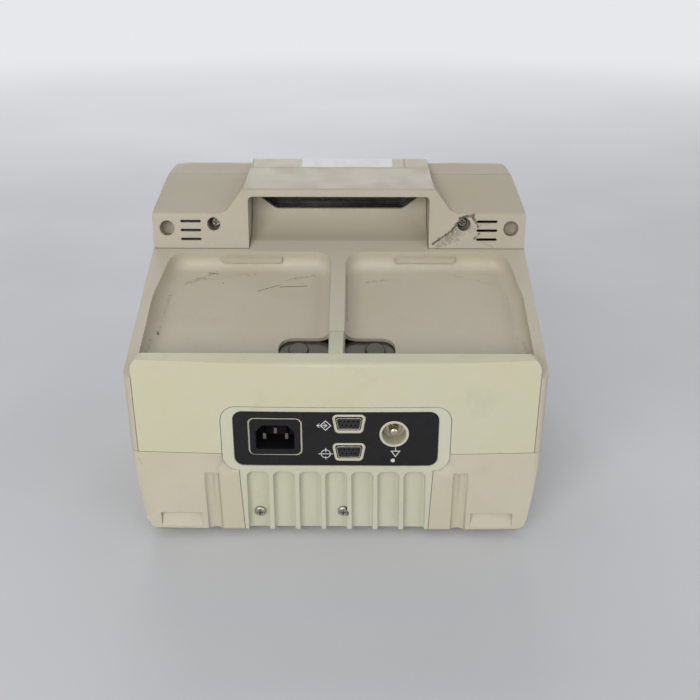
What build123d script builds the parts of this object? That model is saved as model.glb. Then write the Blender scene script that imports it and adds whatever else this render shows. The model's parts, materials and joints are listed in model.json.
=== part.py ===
from build123d import *
import os
from math import atan2, cos, radians, sin, tan

# A mains-powered hospital defibrillator with a paddle tray on its sloping rear deck.
# +Z is up, -Y is the operator's front, +Y is the rear with the mains inlet.
# Lengths are millimetres. A "depth" is measured forward from the rear face.

# ---- overall form -------------------------------------------------------------------------
overall_width = 262.0
overall_depth = 262.0
overall_height = 213.0
foot_height = 5.0            # gap under the base
base_edge = 1.5              # rounding of the lower rear edge
wall = 3.0                   # moulded housing wall
fit = 0.3                    # clearance between parts that only meet
seam_height = 65.0           # joint of the lower and upper housings
side_taper = 7.0             # each side of the lower housing leans in by this much
rear_taper = 4.0             # so does its rear face
rear_bow = 4.0               # the rear face is proud by this much in the middle
front_bow = 3.0
crown = 4.5                  # the top edge is higher by this much in the middle
flank_height = overall_height - 27.0     # the sides are upright up to here
top_half_width = overall_width / 2 - 8.5
upright_corner = 6.0         # rounding of the upright corners in plan
roll_corner = 10.0           # rounding of the long lower and upper edges

# ---- rear deck and handle -----------------------------------------------------------------
deck_slope = 20.7            # degrees
deck_rear_height = 115.8     # deck plane at the rear face
foot_depth = 121.0           # where the deck meets the feet of the handle
foot_lean = 4.0              # the foot face leans forward by this much up to the flank height
crest_depth = 160.0
crest_height = overall_height - 10.5
shoulder_edge_depth = 180.0
top_edge_depth = 179.0
toe_height = 42.8            # lower end of the sloping front face
toe_seam = 30.0              # lower edge of the front housing
front_housing_depth = 17.0   # along the normal of the front face
gap_half_width = 63.5        # hand gap between the handle feet
bar_lip_height = overall_height - 10.7   # upper rear edge of the handle bar
bar_thickness = 4.9
bar_half_width = 66.5
bar_foot_half_width = 80.0
ramp_top_depth = 149.5       # the deck turns up here into the ramp under the bar
ramp_radius = 28.0
ramp_seam_depth = 130.0      # the deck moulding ends here and the separate grip ramp begins
well_half_width = 46.0
well_bottom = overall_height - 30.4
well_spread = 12.0           # the well mouth widens by this much towards the bar
well_depth = 15.0
well_wall = 1.6

# ---- paddle trays -------------------------------------------------------------------------
tray_depth = 12.2            # square to the deck
tray_half_gap = 5.0          # half the divider
tray_outer = overall_width / 2 - 7.0
tray_outer_front = overall_width / 2 - 14.0
tray_front_depth = 117.5
tray_side_turn_depth = 74.0
tray_corner = 13.0
tray_floor_round = 8.0
rib_inner, rib_outer = 40.0, 82.5
rib_height, rib_reach, rib_drop = 3.6, 3.0, 4.4
contact_outer = 38.0         # test contact windows in the tray floors
contact_front_depth = 48.0
contact_rear_depth = 15.0
contact_corner = 9.0
contact_thickness = 1.0
contact_boss, contact_boss_x, contact_boss_depth = 13.0, 25.0, 40.0

# ---- rear cover ---------------------------------------------------------------------------
cover_half_width = overall_width / 2 - 5.3
lip_height = 131.2
lip_depth = 11.5
lip_rise = 2.2               # the lip climbs by this much from the rear face
lip_corner = 9.0
lip_thickness = 3.0
tongue_half_width = 4.5
tongue_front_depth = 42.6
tongue_thickness = 3.2

# ---- connector panel (x to the right as seen from behind) ---------------------------------
panel_half_width = 72.0
panel_bottom, panel_top = 53.2, 98.7
panel_corner = 10.0
fin_half_width_top, fin_half_width_bottom = 62.0, 60.2
fin_panel_thickness = 8.0
fin_pitch, fin_width, fin_depth = 16.9, 13.9, 4.0
fin_count = 7
fin_top = 52.0
label_half_width, label_bottom, label_top = 64.2, 56.9, 95.5
label_corner = 6.0
label_thickness, label_recess = 0.6, 0.5
inlet_x, inlet_z = -38.2, 77.5
inlet_window_width, inlet_window_height = 34.2, 26.7
inlet_flange_width, inlet_flange_height = 31.6, 24.4
inlet_cavity_width, inlet_cavity_height = 24.4, 17.0
inlet_length, inlet_seat, inlet_wall = 26.0, 2.1, 1.7
pin_spacing, earth_pin_rise = 14.0, 4.0
port_x = 8.2
port_heights = (87.0, 66.7)
port_width, port_height = 16.3, 8.1
port_frame_width, port_frame_height = 22.0, 13.5
stud_x, stud_z = 36.5, 79.8
stud_cup, stud_diameter = 18.4, 6.0
panel_screw_spots = ((-50.3, 17.9), (4.4, 18.2))
side_groove_inner, side_groove_outer, side_groove_top = 74.8, 84.8, 50.6
side_groove_depth = 3.2
grip_inner, grip_outer = overall_width / 2 - 43.0, overall_width / 2 - 15.8
grip_bottom, grip_top, grip_depth = foot_height + 2.2, foot_height + 13.9, 3.4

# ---- holes in the handle feet -------------------------------------------------------------
cup_x, cup_z = overall_width / 2 - 10.0, overall_height - 37.4
cup_diameter, cup_depth = 10.6, 9.0
screw_hole_x, screw_hole_z, screw_hole_diameter = overall_width / 2 - 43.0, overall_height - 34.5, 9.3
screw_hole_depth = 14.0
slot_inner, slot_outer, slot_width = overall_width / 2 - 34.0, overall_width / 2 - 19.5, 1.8
slot_heights = [overall_height - drop for drop in (45.0, 38.8, 32.6)]

# ---- front face (x to the right, v up the face, h out of it) ------------------------------
window_x, window_v, window_width, window_height = -40.0, 33.0, 126.0, 96.0
window_thickness = 1.5
window_rebate = 3.0
lcd_width, lcd_height, lcd_thickness = 138.0, 106.0, 9.0
lcd_clearance = 0.8          # behind the display panel
lug_width = 9.0              # lugs that take the handle screws
dial_x, dial_v, dial_diameter, dial_height = overall_width / 2 - 51.0, 33.5, 44.0, 17.0
scale_diameter, scale_thickness = 62.0, 0.6
shaft_diameter, bushing_diameter = 6.0, 9.5
shaft_end = 3.0              # the shaft stops this far below the top of the dial
switch_width, switch_depth = 24.0, 13.0
switch_tags, switch_tag_radius = 12, 10.5
key_travel = 0.8
key_proud = 1.6
key_flange, key_flange_thickness = 1.4, 1.2
key_gap = 0.35
row_key_width, row_key_height, row_key_v = 16.0, 8.0, -27.5
row_key_first_x = 37.0 - overall_width / 2
row_key_gap = 14.2           # between the row and the two large keys
row_key_names = ("lead_key", "size_key", "alarm_key", "menu_key", "event_key", "print_key", "sync_key")
main_key_width, main_key_height = 42.0, 15.0
row_key_end_x = dial_x - main_key_width / 2 - row_key_gap - row_key_width / 2
row_key_pitch = (row_key_end_x - row_key_first_x) / (len(row_key_names) - 1)
charge_key_v, shock_key_v = -7.0, -25.2
board_thickness = 1.6
board_margin = 18.0          # key board beyond the outer keys of the row
board_column_half_width = 33.0
board_post_inset = 4.0
key_board_h = -9.0           # front side of the key board
switch_height = 3.4
printer_x, printer_v = overall_width / 2 - 55.0, -60.0
door_width, door_height, door_thickness = 62.0, 43.0, 3.2
hinge_radius, hinge_pin_diameter = 4.8, 2.5
door_gap = 0.4
bay_depth = 46.0
bay_wall = 2.0
roll_diameter, roll_width, roll_bore = 34.0, 50.0, 6.2
platen_diameter = 9.0
therapy_x, ecg_x, socket_v = 47.0 - overall_width / 2, -34.0, -64.0
therapy_width, therapy_height = 42.0, 24.0
ecg_diameter = 24.0
socket_length = 30.0
lamp_x, lamp_pitch, lamp_diameter = 4.0, 11.0, 4.0

# ---- inside -------------------------------------------------------------------------------
chassis_height, chassis_thickness = 16.0, 1.5
chassis_half_width, chassis_rear, chassis_front = overall_width / 2 - 33.0, 16.0, 196.0
case_screw_x, case_screw_depths = overall_width / 2 - 22.0, (30.0, 182.0)
case_post = 12.0
case_head_height = 48.0
screw_shank = 3.5
battery_place = (-46.0, 70.0, 78.0, 84.0, 46.0)      # x, depth, width, length, height
capacitor_place = (48.0, 150.0)                      # x, depth
capacitor_diameter, capacitor_length, clamp_thickness = 50.0, 78.0, 1.5
inductor_place = (-66.0, 146.0)
relay_place = (-16.0, 178.0)
rubber_foot_x, rubber_foot_depths = overall_width / 2 - 39.0, (34.0, overall_depth - 34.0)
rubber_foot_diameter = 22.0

# ---- places that follow from the sizes ----------------------------------------------------
tilt = atan2(overall_depth - top_edge_depth, overall_height - toe_height)   # front face, from upright


def y_at(depth):
    """Y of a point that lies the given depth forward of the rear face."""
    return overall_depth / 2 - depth


def deck_z(depth):
    """Height of the deck plane."""
    return deck_rear_height + depth * tan(radians(deck_slope))


def face_z(depth):
    """Height of the front face."""
    return overall_height - (depth - top_edge_depth) / tan(tilt)


def foot_depth_at(height):
    """Depth of the leaning foot face of the handle."""
    foot_base = deck_z(foot_depth)
    return foot_depth + foot_lean * (height - foot_base) / (flank_height - foot_base)


def bar_top_z(depth):
    """Height of the top of the handle bar."""
    lip_depth_here = foot_depth_at(bar_lip_height)
    rise = (overall_height - bar_lip_height) / (top_edge_depth - lip_depth_here)
    return bar_lip_height + rise * (depth - lip_depth_here)


joint_height = deck_z(foot_depth)        # joint of the deck and the handle housing
face_plane = Plane(
    origin=(0, (y_at(top_edge_depth) + y_at(overall_depth)) / 2, (overall_height + toe_height) / 2),
    x_dir=(1, 0, 0),
    z_dir=(0, -cos(tilt), sin(tilt)),
)
rear_plane = Plane(origin=(0, y_at(0), 0), x_dir=(-1, 0, 0), z_dir=(0, 1, 0))
lean_angle = Vector(0, -rear_taper, foot_height - seam_height).normalized()
lower_rear_plane = Plane(
    origin=(0, y_at(0), seam_height), x_dir=(-1, 0, 0), z_dir=(0, -lean_angle.Z, lean_angle.Y))
deck_plane = Plane(
    origin=(0, y_at(0), deck_z(0)),
    x_dir=(1, 0, 0),
    z_dir=(0, sin(radians(deck_slope)), cos(radians(deck_slope))),
)
foot_angle = Vector(0, y_at(foot_depth_at(flank_height)) - y_at(foot_depth), flank_height - joint_height)
foot_plane = Plane(
    origin=(0, y_at(foot_depth), joint_height),
    x_dir=(-1, 0, 0),
    z_dir=(0, foot_angle.Z, -foot_angle.Y),
)


def deck_v(depth):
    """Place of a depth along the deck plane; it runs from the rear face towards the handle."""
    return -depth / cos(radians(deck_slope))


# ---- shape helpers ------------------------------------------------------------------------
def rounded_polygon(corners, inset=0.0):
    """Face inside a counter-clockwise list of (x, y, corner radius), moved in by the inset."""
    spots = [Vector(x, y) for x, y, _ in corners]
    count = len(spots)
    sides = [(spots[(i + 1) % count] - spots[i]).normalized() for i in range(count)]
    normals = [Vector(-side.Y, side.X) for side in sides]
    moved = []
    radii = []
    for i in range(count):
        first, second = normals[i - 1], normals[i]
        moved.append(spots[i] + (first + second) * (inset / (1 + first.dot(second))))
        outward = sides[i - 1].cross(sides[i]).Z > 0
        radius = corners[i][2]
        changed = max(radius - inset, wall / 10) if outward else radius + inset
        radii.append(changed if radius else 0)
    return make_face(FilletPolyline(*moved, radius=radii, close=True))


def rounded_block(width, height, radius, low, high):
    """Upright block on the XY plane with rounded corners, between two heights."""
    return extrude(Pos(0, 0, low) * RectangleRounded(width, height, radius), high - low)


def disc(diameter, low, high):
    """Cylinder about Z between two heights."""
    return Pos(0, 0, low) * Cylinder(diameter / 2, high - low, align=(Align.CENTER, Align.CENTER, Align.MIN))


def across(sketch, half_width):
    """Solid of a side outline, drawn in Y and Z, across the width."""
    return extrude(Plane.YZ * sketch, half_width, both=True)


def screw(head_diameter, head_height, shank_diameter, length):
    """Pan-head screw with a cross recess; its head sits on Z = 0 and its shank points down."""
    body = disc(head_diameter, 0, head_height) + disc(shank_diameter, -length, 0)
    body = chamfer(body.edges().filter_by(GeomType.CIRCLE).sort_by(Axis.Z)[-1], head_height * 0.3)
    recess = Box(head_diameter * 0.55, shank_diameter * 0.28, head_height)
    recess += Box(shank_diameter * 0.28, head_diameter * 0.55, head_height)
    return body - Pos(0, 0, head_height) * recess


def on_front(x, v, shape):
    """Carry a shape from its own axes to a place on the front face."""
    return face_plane.location * Pos(x, v, 0) * shape


def on_rear(x, z, shape):
    """Carry a shape from its own axes to a place on the rear face."""
    return rear_plane.location * Pos(x, z, 0) * shape


def on_lower_rear(x, z, shape):
    """Carry a shape to a place on the leaning rear face below the seam, at a height."""
    return lower_rear_plane.location * Pos(x, (z - seam_height) / lower_rear_plane.y_dir.Z, 0) * shape


# ---- the envelope of the whole case -------------------------------------------------------
def side_outline(inset):
    """Side view of the case without the handle bar, in Y and Z."""
    corners = [
        (y_at(rear_taper), foot_height, base_edge),
        (y_at(0), seam_height, 0),
        (y_at(0), deck_z(0), 3),
        (y_at(foot_depth), joint_height, 0),
        (y_at(foot_depth_at(flank_height)), flank_height, 4),
        (y_at(crest_depth), crest_height, 60),
        (y_at(shoulder_edge_depth), face_z(shoulder_edge_depth), 5),
        (y_at(overall_depth), toe_height, 12),
        (y_at(overall_depth), foot_height, 6),
    ]
    return rounded_polygon(corners, inset)


def front_outline(inset):
    """Front view of the case in X and Z, with its crowned top."""
    low = overall_width / 2 - side_taper
    high = overall_width / 2
    corners = [
        (-low, foot_height, roll_corner),
        (low, foot_height, roll_corner),
        (high, seam_height, 0),
        (high, flank_height, 20),
        (top_half_width, overall_height, 0),
        (-top_half_width, overall_height, 0),
        (-high, flank_height, 20),
        (-high, seam_height, 0),
    ]
    crown_radius = (top_half_width**2 + crown**2) / (2 * crown)
    dome = Pos(0, overall_height - crown_radius) * Circle(crown_radius - inset)
    outline = rounded_polygon(corners, inset) & dome
    return fillet(outline.vertices().sort_by(Axis.Y)[-2:], roll_corner - inset)


def plan_outline(inset):
    """Plan of the case with its bowed rear and front."""
    half = overall_width / 2
    rear_radius = (half**2 + rear_bow**2) / (2 * rear_bow)
    front_radius = (half**2 + front_bow**2) / (2 * front_bow)
    outline = Rectangle(overall_width - 2 * inset, overall_depth - 2 * inset)
    outline &= Pos(0, y_at(0) - rear_radius) * Circle(rear_radius - inset)
    outline &= Pos(0, y_at(overall_depth) + front_radius) * Circle(front_radius - inset)
    return fillet(outline.vertices(), max(upright_corner - inset, wall / 10))


def plan_solid(inset):
    """The plan drawn up through the whole height."""
    return extrude(plan_outline(inset), overall_height)


def envelope(inset):
    """Solid that the case fills, moved in by the inset."""
    solid = across(side_outline(inset), overall_width)
    solid &= extrude(Plane.XZ * front_outline(inset), overall_depth, both=True)
    return solid & plan_solid(inset)


def handle_arch():
    """The raised bar of the handle and its two flanks, before the hand gap is cut."""
    side = rounded_polygon([
        (y_at(foot_depth), joint_height, 0),
        (y_at(foot_depth_at(bar_lip_height)), bar_lip_height, 2.5),
        (y_at(top_edge_depth), overall_height, 4),
        (y_at(top_edge_depth + 20), face_z(top_edge_depth + 20), 0),
    ])
    bar_top = overall_height + 2
    front = rounded_polygon([
        (-bar_foot_half_width - 12, joint_height, 0),
        (bar_foot_half_width + 12, joint_height, 0),
        (bar_foot_half_width + 12, flank_height, 0),
        (bar_foot_half_width, flank_height, 9),
        (bar_half_width, bar_lip_height + 1, 7),
        (bar_half_width - 3, bar_top, 0),
        (-bar_half_width + 3, bar_top, 0),
        (-bar_half_width, bar_lip_height + 1, 7),
        (-bar_foot_half_width, flank_height, 9),
        (-bar_foot_half_width - 12, flank_height, 0),
    ])
    return across(side, overall_width) & extrude(Plane.XZ * front, overall_depth, both=True)


def hand_gap():
    """Space between the feet of the handle and under its bar."""
    lip_y = foot_depth_at(bar_lip_height)
    underside = bar_lip_height - bar_thickness
    slope = bar_top_z(1) - bar_top_z(0)
    reach = 70.0
    side = rounded_polygon([
        (y_at(foot_depth - 20), joint_height - 20, 0),
        (y_at(foot_depth - 20), underside + slope * (foot_depth - 20 - lip_y), 0),
        (y_at(foot_depth + reach), underside + slope * (foot_depth + reach - lip_y), 0),
        (y_at(foot_depth + reach), joint_height - 20, 0),
    ])
    gap = across(side, gap_half_width)
    upper = gap.edges().filter_by(lambda edge: abs(edge.center().X) > gap_half_width - 1)
    upper = ShapeList(upper).filter_by(lambda edge: abs(edge.tangent_at(0).Y) > 0.9).sort_by(Axis.Z)[-2:]
    return fillet(upper, 3)


def front_region(back_off=0.0):
    """Space in front of the parting plane of the front housing."""
    slab = face_plane.location * Pos(0, 0, 150 - front_housing_depth - back_off) * Box(500, 700, 300)
    above = Pos(0, 0, toe_seam + 200 - back_off) * Box(500, 600, 400)
    return slab & above


def between(low, high):
    """Slab between two heights."""
    return Pos(0, 0, (low + high) / 2) * Box(400, 400, high - low)


outer = envelope(0)
inner = envelope(wall)
plan_wall = plan_solid(wall)
cover_seat = wall + fit / 2                  # how far the rear wall behind the cover is set in
crown_solid = outer + handle_arch()
front_zone = front_region()
gap_zone = hand_gap()


def skin(outline, start, end):
    """Piece of the rear skin inside an outline drawn on the rear, between two depths below it."""
    block = extrude(rear_plane * outline, overall_depth / 8, both=True)
    return (block & Pos(0, -start, 0) * outer) - Pos(0, -end, 0) * outer


# ---- rear cover and connector panel -------------------------------------------------------
def panel_outline(grow=0.0):
    """Outline of the connector panel as seen from behind."""
    plate = Pos(0, (panel_bottom + panel_top) / 2) * RectangleRounded(
        2 * (panel_half_width + grow), panel_top - panel_bottom + 2 * grow, panel_corner + grow)
    fins = rounded_polygon([
        (-fin_half_width_bottom, foot_height - wall, 0),
        (fin_half_width_bottom, foot_height - wall, 0),
        (fin_half_width_top, panel_bottom + panel_corner, 0),
        (-fin_half_width_top, panel_bottom + panel_corner, 0),
    ], -grow)
    return plate + fins


def label_outline(grow=0.0):
    """Outline of the dark label, grown evenly."""
    return Pos(0, (label_bottom + label_top) / 2) * RectangleRounded(
        2 * (label_half_width + grow), label_top - label_bottom + 2 * grow, label_corner + grow)


def port_outline(width, height, radius):
    """D-shaped outline, wide side up."""
    narrow = width / 2 - height * tan(radians(10))
    return rounded_polygon([
        (-narrow, -height / 2, radius),
        (narrow, -height / 2, radius),
        (width / 2, height / 2, radius),
        (-width / 2, height / 2, radius),
    ])


def inlet_outline(width, height, bevel):
    """Appliance inlet outline with two bevelled upper corners."""
    return rounded_polygon([
        (-width / 2, -height / 2, 1.5),
        (width / 2, -height / 2, 1.5),
        (width / 2, height / 2 - bevel, 1.5),
        (width / 2 - bevel, height / 2, 1.5),
        (-width / 2 + bevel, height / 2, 1.5),
        (-width / 2, height / 2 - bevel, 1.5),
    ])


def fin_grooves():
    """The row of round-topped grooves in the lower part of the connector panel."""
    grooves = None
    length = fin_top - foot_height + fin_width
    for index in range(fin_count):
        x = (index - (fin_count - 1) / 2) * fin_pitch
        lean = 0.35 * x / fin_pitch
        groove = Pos(0, 0, -fin_depth) * extrude(RectangleRounded(fin_width, length, 4), 3 * fin_depth)
        floor_edges = groove.edges().filter_by(GeomType.LINE).sort_by(Axis.Z)[:4]
        groove = fillet(floor_edges + groove.edges().filter_by(GeomType.CIRCLE).sort_by(Axis.Z)[:4], 1.8)
        placed = on_lower_rear(x, fin_top - length / 2, Rot(0, 0, lean) * groove)
        grooves = placed if grooves is None else grooves + placed
    return grooves


def connector_panel():
    """Cast panel with the label recess above and cooling grooves below."""
    plate = skin(panel_outline(), 0, wall)
    lower = Pos(0, (panel_bottom + foot_height - wall) / 2) * Rectangle(
        2 * panel_half_width, panel_bottom - foot_height + wall)
    fins = skin(panel_outline() & lower, 0, fin_panel_thickness)
    panel = plate + fins - fin_grooves()
    panel -= skin(label_outline(fit), -1, label_recess + label_thickness)
    pocket = rounded_block(inlet_flange_width + fit, inlet_flange_height + fit, 3, -inlet_seat, 5)
    throat = rounded_block(inlet_cavity_width + 2 * inlet_wall + fit, inlet_cavity_height + 2 * inlet_wall + fit,
                           2, -20, 5)
    cuts = on_rear(inlet_x, inlet_z, pocket + throat)
    for port_z in port_heights:
        hole = Pos(0, 0, -20) * extrude(port_outline(port_width + 1.6, port_height + 1.6, 1.5), 30)
        cuts += on_rear(port_x, port_z, hole)
    cuts += on_rear(stud_x, stud_z, disc(stud_cup + fit, -20, 5))
    for x, z in panel_screw_spots:
        cuts += on_lower_rear(x, z, disc(screw_shank + 0.1, -20, 5) + disc(7.6, -fin_depth, 0))
    return panel - cuts


def connector_label():
    """Thin dark label in the recess of the panel."""
    label = skin(label_outline(), label_recess, label_recess + label_thickness)
    cuts = on_rear(inlet_x, inlet_z, rounded_block(inlet_window_width, inlet_window_height, 4, -20, 5))
    for port_z in port_heights:
        hole = Pos(0, 0, -20) * extrude(port_outline(port_frame_width, port_frame_height, 3), 30)
        cuts += on_rear(port_x, port_z, hole)
    cuts += on_rear(stud_x, stud_z, disc(stud_cup + 2 * fit, -20, 5))
    return label - cuts


def rear_cover():
    """Cover of the rear face, with the lip that closes the trays and the tongue between them."""
    base = seam_height + fit / 2
    outline = rounded_polygon([
        (-cover_half_width, base, 0.8),
        (cover_half_width, base, 0.8),
        (cover_half_width, lip_height, lip_corner),
        (-cover_half_width, lip_height, lip_corner),
    ])
    side = rounded_polygon([
        (y_at(lip_depth), base, 0),
        (y_at(0), base, 0),
        (y_at(0), lip_height - lip_rise, 3.5),
        (y_at(lip_depth), lip_height, 1.2),
    ])
    body = across(side, overall_width) & extrude(rear_plane * outline, overall_depth / 4, both=True)
    body &= plan_solid(0)
    under_lip = across(rounded_polygon([
        (y_at(40), base - 5, 0),
        (y_at(-5), base - 5, 0),
        (y_at(-5), deck_z(-5) + fit, 0),
        (y_at(40), deck_z(40) + fit, 0),
    ]), overall_width)
    roll = across(rounded_polygon([
        (y_at(lip_depth - lip_thickness), base, 0),
        (y_at(-5), base, 0),
        (y_at(-5), lip_height - lip_rise - lip_thickness, 0),
        (y_at(lip_depth - lip_thickness), lip_height - lip_thickness - 0.5, 2.5),
    ]), cover_half_width - lip_thickness)
    body -= plan_wall & (under_lip + roll)
    tongue = across(rounded_polygon([
        (y_at(tongue_front_depth), deck_z(tongue_front_depth) - tongue_thickness, 0),
        (y_at(lip_depth - 1), deck_z(lip_depth - 1) - tongue_thickness, 0),
        (y_at(lip_depth - 1), lip_height - 0.1, 0),
        (y_at(tongue_front_depth), deck_z(tongue_front_depth), 0.6),
    ]), tongue_half_width)
    cutout = extrude(rear_plane * panel_outline(fit), 20, both=True)
    return body + tongue - cutout


# ---- trays --------------------------------------------------------------------------------
def tray_outline(grow=0.0):
    """Plan of one tray on the deck plane."""
    rear_end = deck_v(-14)
    return rounded_polygon([
        (tray_half_gap, deck_v(tray_front_depth), tray_corner),
        (tray_outer_front, deck_v(tray_front_depth), tray_corner),
        (tray_outer, deck_v(tray_side_turn_depth), 50),
        (tray_outer, rear_end, 0),
        (tray_half_gap, rear_end, 0),
    ], -grow)


def tray_solid(grow):
    """Space of one tray, or the pan round it when grown by the wall."""
    outline = tray_outline(grow)
    solid = Pos(0, 0, -tray_depth - grow) * extrude(outline, tray_depth + grow + wall)
    solid = fillet(solid.faces().sort_by(Axis.Z)[0].edges(), tray_floor_round + grow)
    return deck_plane.location * solid


def both_trays(grow):
    """The two trays, mirrored about the divider."""
    one = tray_solid(grow)
    return one + mirror(one, Plane.YZ)


def contact_window(grow=0.0):
    """Window in a tray floor over the test contact, as a solid square to the deck."""
    front, rear = deck_v(contact_front_depth), deck_v(contact_rear_depth)
    outline = rounded_polygon([
        (tray_half_gap + fit, front, 1.5),
        (contact_outer, front, contact_corner),
        (contact_outer, rear, 1.5),
        (tray_half_gap + fit, rear, 1.5),
    ], -grow)
    return outline


def ramp():
    """Sheet that turns up from the deck, under the bar of the handle."""
    bar_under = bar_top_z(ramp_top_depth) - bar_thickness - fit
    lean = 3.0
    sheet = rounded_polygon([
        (y_at(foot_depth), joint_height, 0),
        (y_at(ramp_top_depth), deck_z(ramp_top_depth), ramp_radius),
        (y_at(ramp_top_depth + lean), bar_under, 0),
        (y_at(ramp_top_depth + lean + wall), bar_under, 0),
        (y_at(ramp_top_depth + wall), deck_z(ramp_top_depth) - wall, ramp_radius + wall),
        (y_at(foot_depth), joint_height - wall, 0),
    ])
    strip = across(sheet, gap_half_width - fit) & Pos(0, 0, -fit) * gap_zone
    return strip - well_mouth(0, overall_depth)


def grip_ramp():
    """Upper part of the ramp, a moulding of its own that butts on the deck."""
    return ramp() & ramp_zone


def well_mouth(grow, reach):
    """The mouth of the finger well, driven forward from the rear of the handle."""
    outline = rounded_polygon([
        (-well_half_width, well_bottom, 7),
        (well_half_width, well_bottom, 7),
        (well_half_width + well_spread, well_bottom + 8.5, 3),
        (well_half_width + well_spread + 2, well_bottom + 30, 0),
        (-well_half_width - well_spread - 2, well_bottom + 30, 0),
        (-well_half_width - well_spread, well_bottom + 8.5, 3),
    ], -grow)
    placed = extrude(rear_plane * outline, -(ramp_top_depth + reach))
    return placed - Pos(0, y_at(ramp_top_depth - 1) + 200, 200) * Box(400, 400, 400)


def handle_well():
    """Dark liner of the finger well behind the ramp."""
    front_side = ramp_top_depth + well_depth
    under = bar_top_z(front_side) - bar_thickness - fit
    start = ramp_top_depth + wall + 2 * fit + 1.6
    room = across(rounded_polygon([
        (y_at(front_side), well_bottom - 10, 0),
        (y_at(start - 0.4), well_bottom - 10, 0),
        (y_at(start + 2.2), under - 2.5, 0),
        (y_at(front_side), under - 1.5, 0),
    ]), gap_half_width - 2 * fit)
    hollow = across(rounded_polygon([
        (y_at(front_side - well_wall), well_bottom - 12, 0),
        (y_at(start - 20), well_bottom - 12, 0),
        (y_at(start - 20), under + 5, 0),
        (y_at(front_side - well_wall), under + 5, 0),
    ]), gap_half_width)
    return (room & well_mouth(well_wall, 30)) - (hollow & well_mouth(0, 30))


# ---- the three housings -------------------------------------------------------------------
def cover_recess():
    """What the rear face of the upper housing gives up to the cover."""
    outline = rounded_polygon([
        (-cover_half_width - fit, seam_height - wall, 0),
        (cover_half_width + fit, seam_height - wall, 0),
        (cover_half_width + fit, lip_height + fit, lip_corner),
        (-cover_half_width - fit, lip_height + fit, lip_corner),
    ])
    rear_half = Pos(0, overall_depth / 2, overall_height / 2) * Box(400, overall_depth / 2, 400)
    block = extrude(rear_plane * outline, overall_depth / 4, both=True) & rear_half
    return block - plan_solid(cover_seat)


def case_post_spots():
    """Plan places of the four long case screws."""
    return [(side * case_screw_x, y_at(depth)) for depth in case_screw_depths for side in (-1, 1)]


def upper_housing():
    """Deck with its two trays, the side walls and the ramp under the handle."""
    zone = between(seam_height + fit / 2, joint_height - fit / 2)
    block = (outer & zone) - front_region(fit) - cover_recess()
    room = inner & Pos(0, -cover_seat, 0) * inner
    shell = (block - room) + (block & both_trays(wall)) - both_trays(0)
    for x, y in case_post_spots():
        side = 1 if x > 0 else -1
        post = Pos(x, y, 0) * disc(case_post - 2, seam_height + fit / 2, seam_height + 34)
        reach = overall_width / 2 - case_screw_x
        web = Pos(x + side * reach / 2, y, seam_height + 17) * Box(reach, 2, 33)
        shell += (post + web) & outer
        shell -= Pos(x, y, 0) * disc(screw_shank + 0.1, seam_height, seam_height + 20)
    shell += ramp() - ramp_zone
    shell -= extrude(rear_plane * panel_outline(-wall), 20, both=True)
    window = extrude(deck_plane * contact_window(), -3 * tray_depth)
    shell -= window + mirror(window, Plane.YZ)
    rib = rounded_block(rib_outer - rib_inner, rib_reach + 2, 1.2, -rib_height, 0)
    rib_x = (rib_inner + rib_outer) / 2
    rib_v = deck_v(tray_front_depth) + rib_reach / 2 - 1
    for side in (-1, 1):
        shell += deck_plane.location * Pos(side * rib_x, rib_v, -rib_drop) * rib
    tongue_seat = across(rounded_polygon([
        (y_at(tongue_front_depth + fit), deck_z(tongue_front_depth) - tongue_thickness - fit, 0),
        (y_at(-2), deck_z(-2) - tongue_thickness - fit, 0),
        (y_at(-2), lip_height, 0),
        (y_at(tongue_front_depth + fit), lip_height + 5, 0),
    ]), tray_half_gap)
    return shell - tongue_seat


def groove_cutter():
    """Round-bottomed groove that hangs down from its origin."""
    half = (side_groove_outer - side_groove_inner) / 2
    radius = (half**2 + side_groove_depth**2) / (2 * side_groove_depth)
    return Pos(0, 0, radius - side_groove_depth) * Rot(90, 0, 0) * disc(2 * radius, 0, seam_height)


def grip_wedge(width):
    """Space of a grip pocket: deepest at its top, running out at its lower end."""
    slope = rear_taper / (seam_height - foot_height)
    low, high = slope * (seam_height - grip_bottom), slope * (seam_height - grip_top)
    return across(rounded_polygon([
        (y_at(low - fit), grip_bottom, 0),
        (y_at(low - rear_taper), grip_bottom, 0),
        (y_at(low - rear_taper), grip_top, 0),
        (y_at(high + grip_depth), grip_top, 0.6),
    ]), width / 2)


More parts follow.
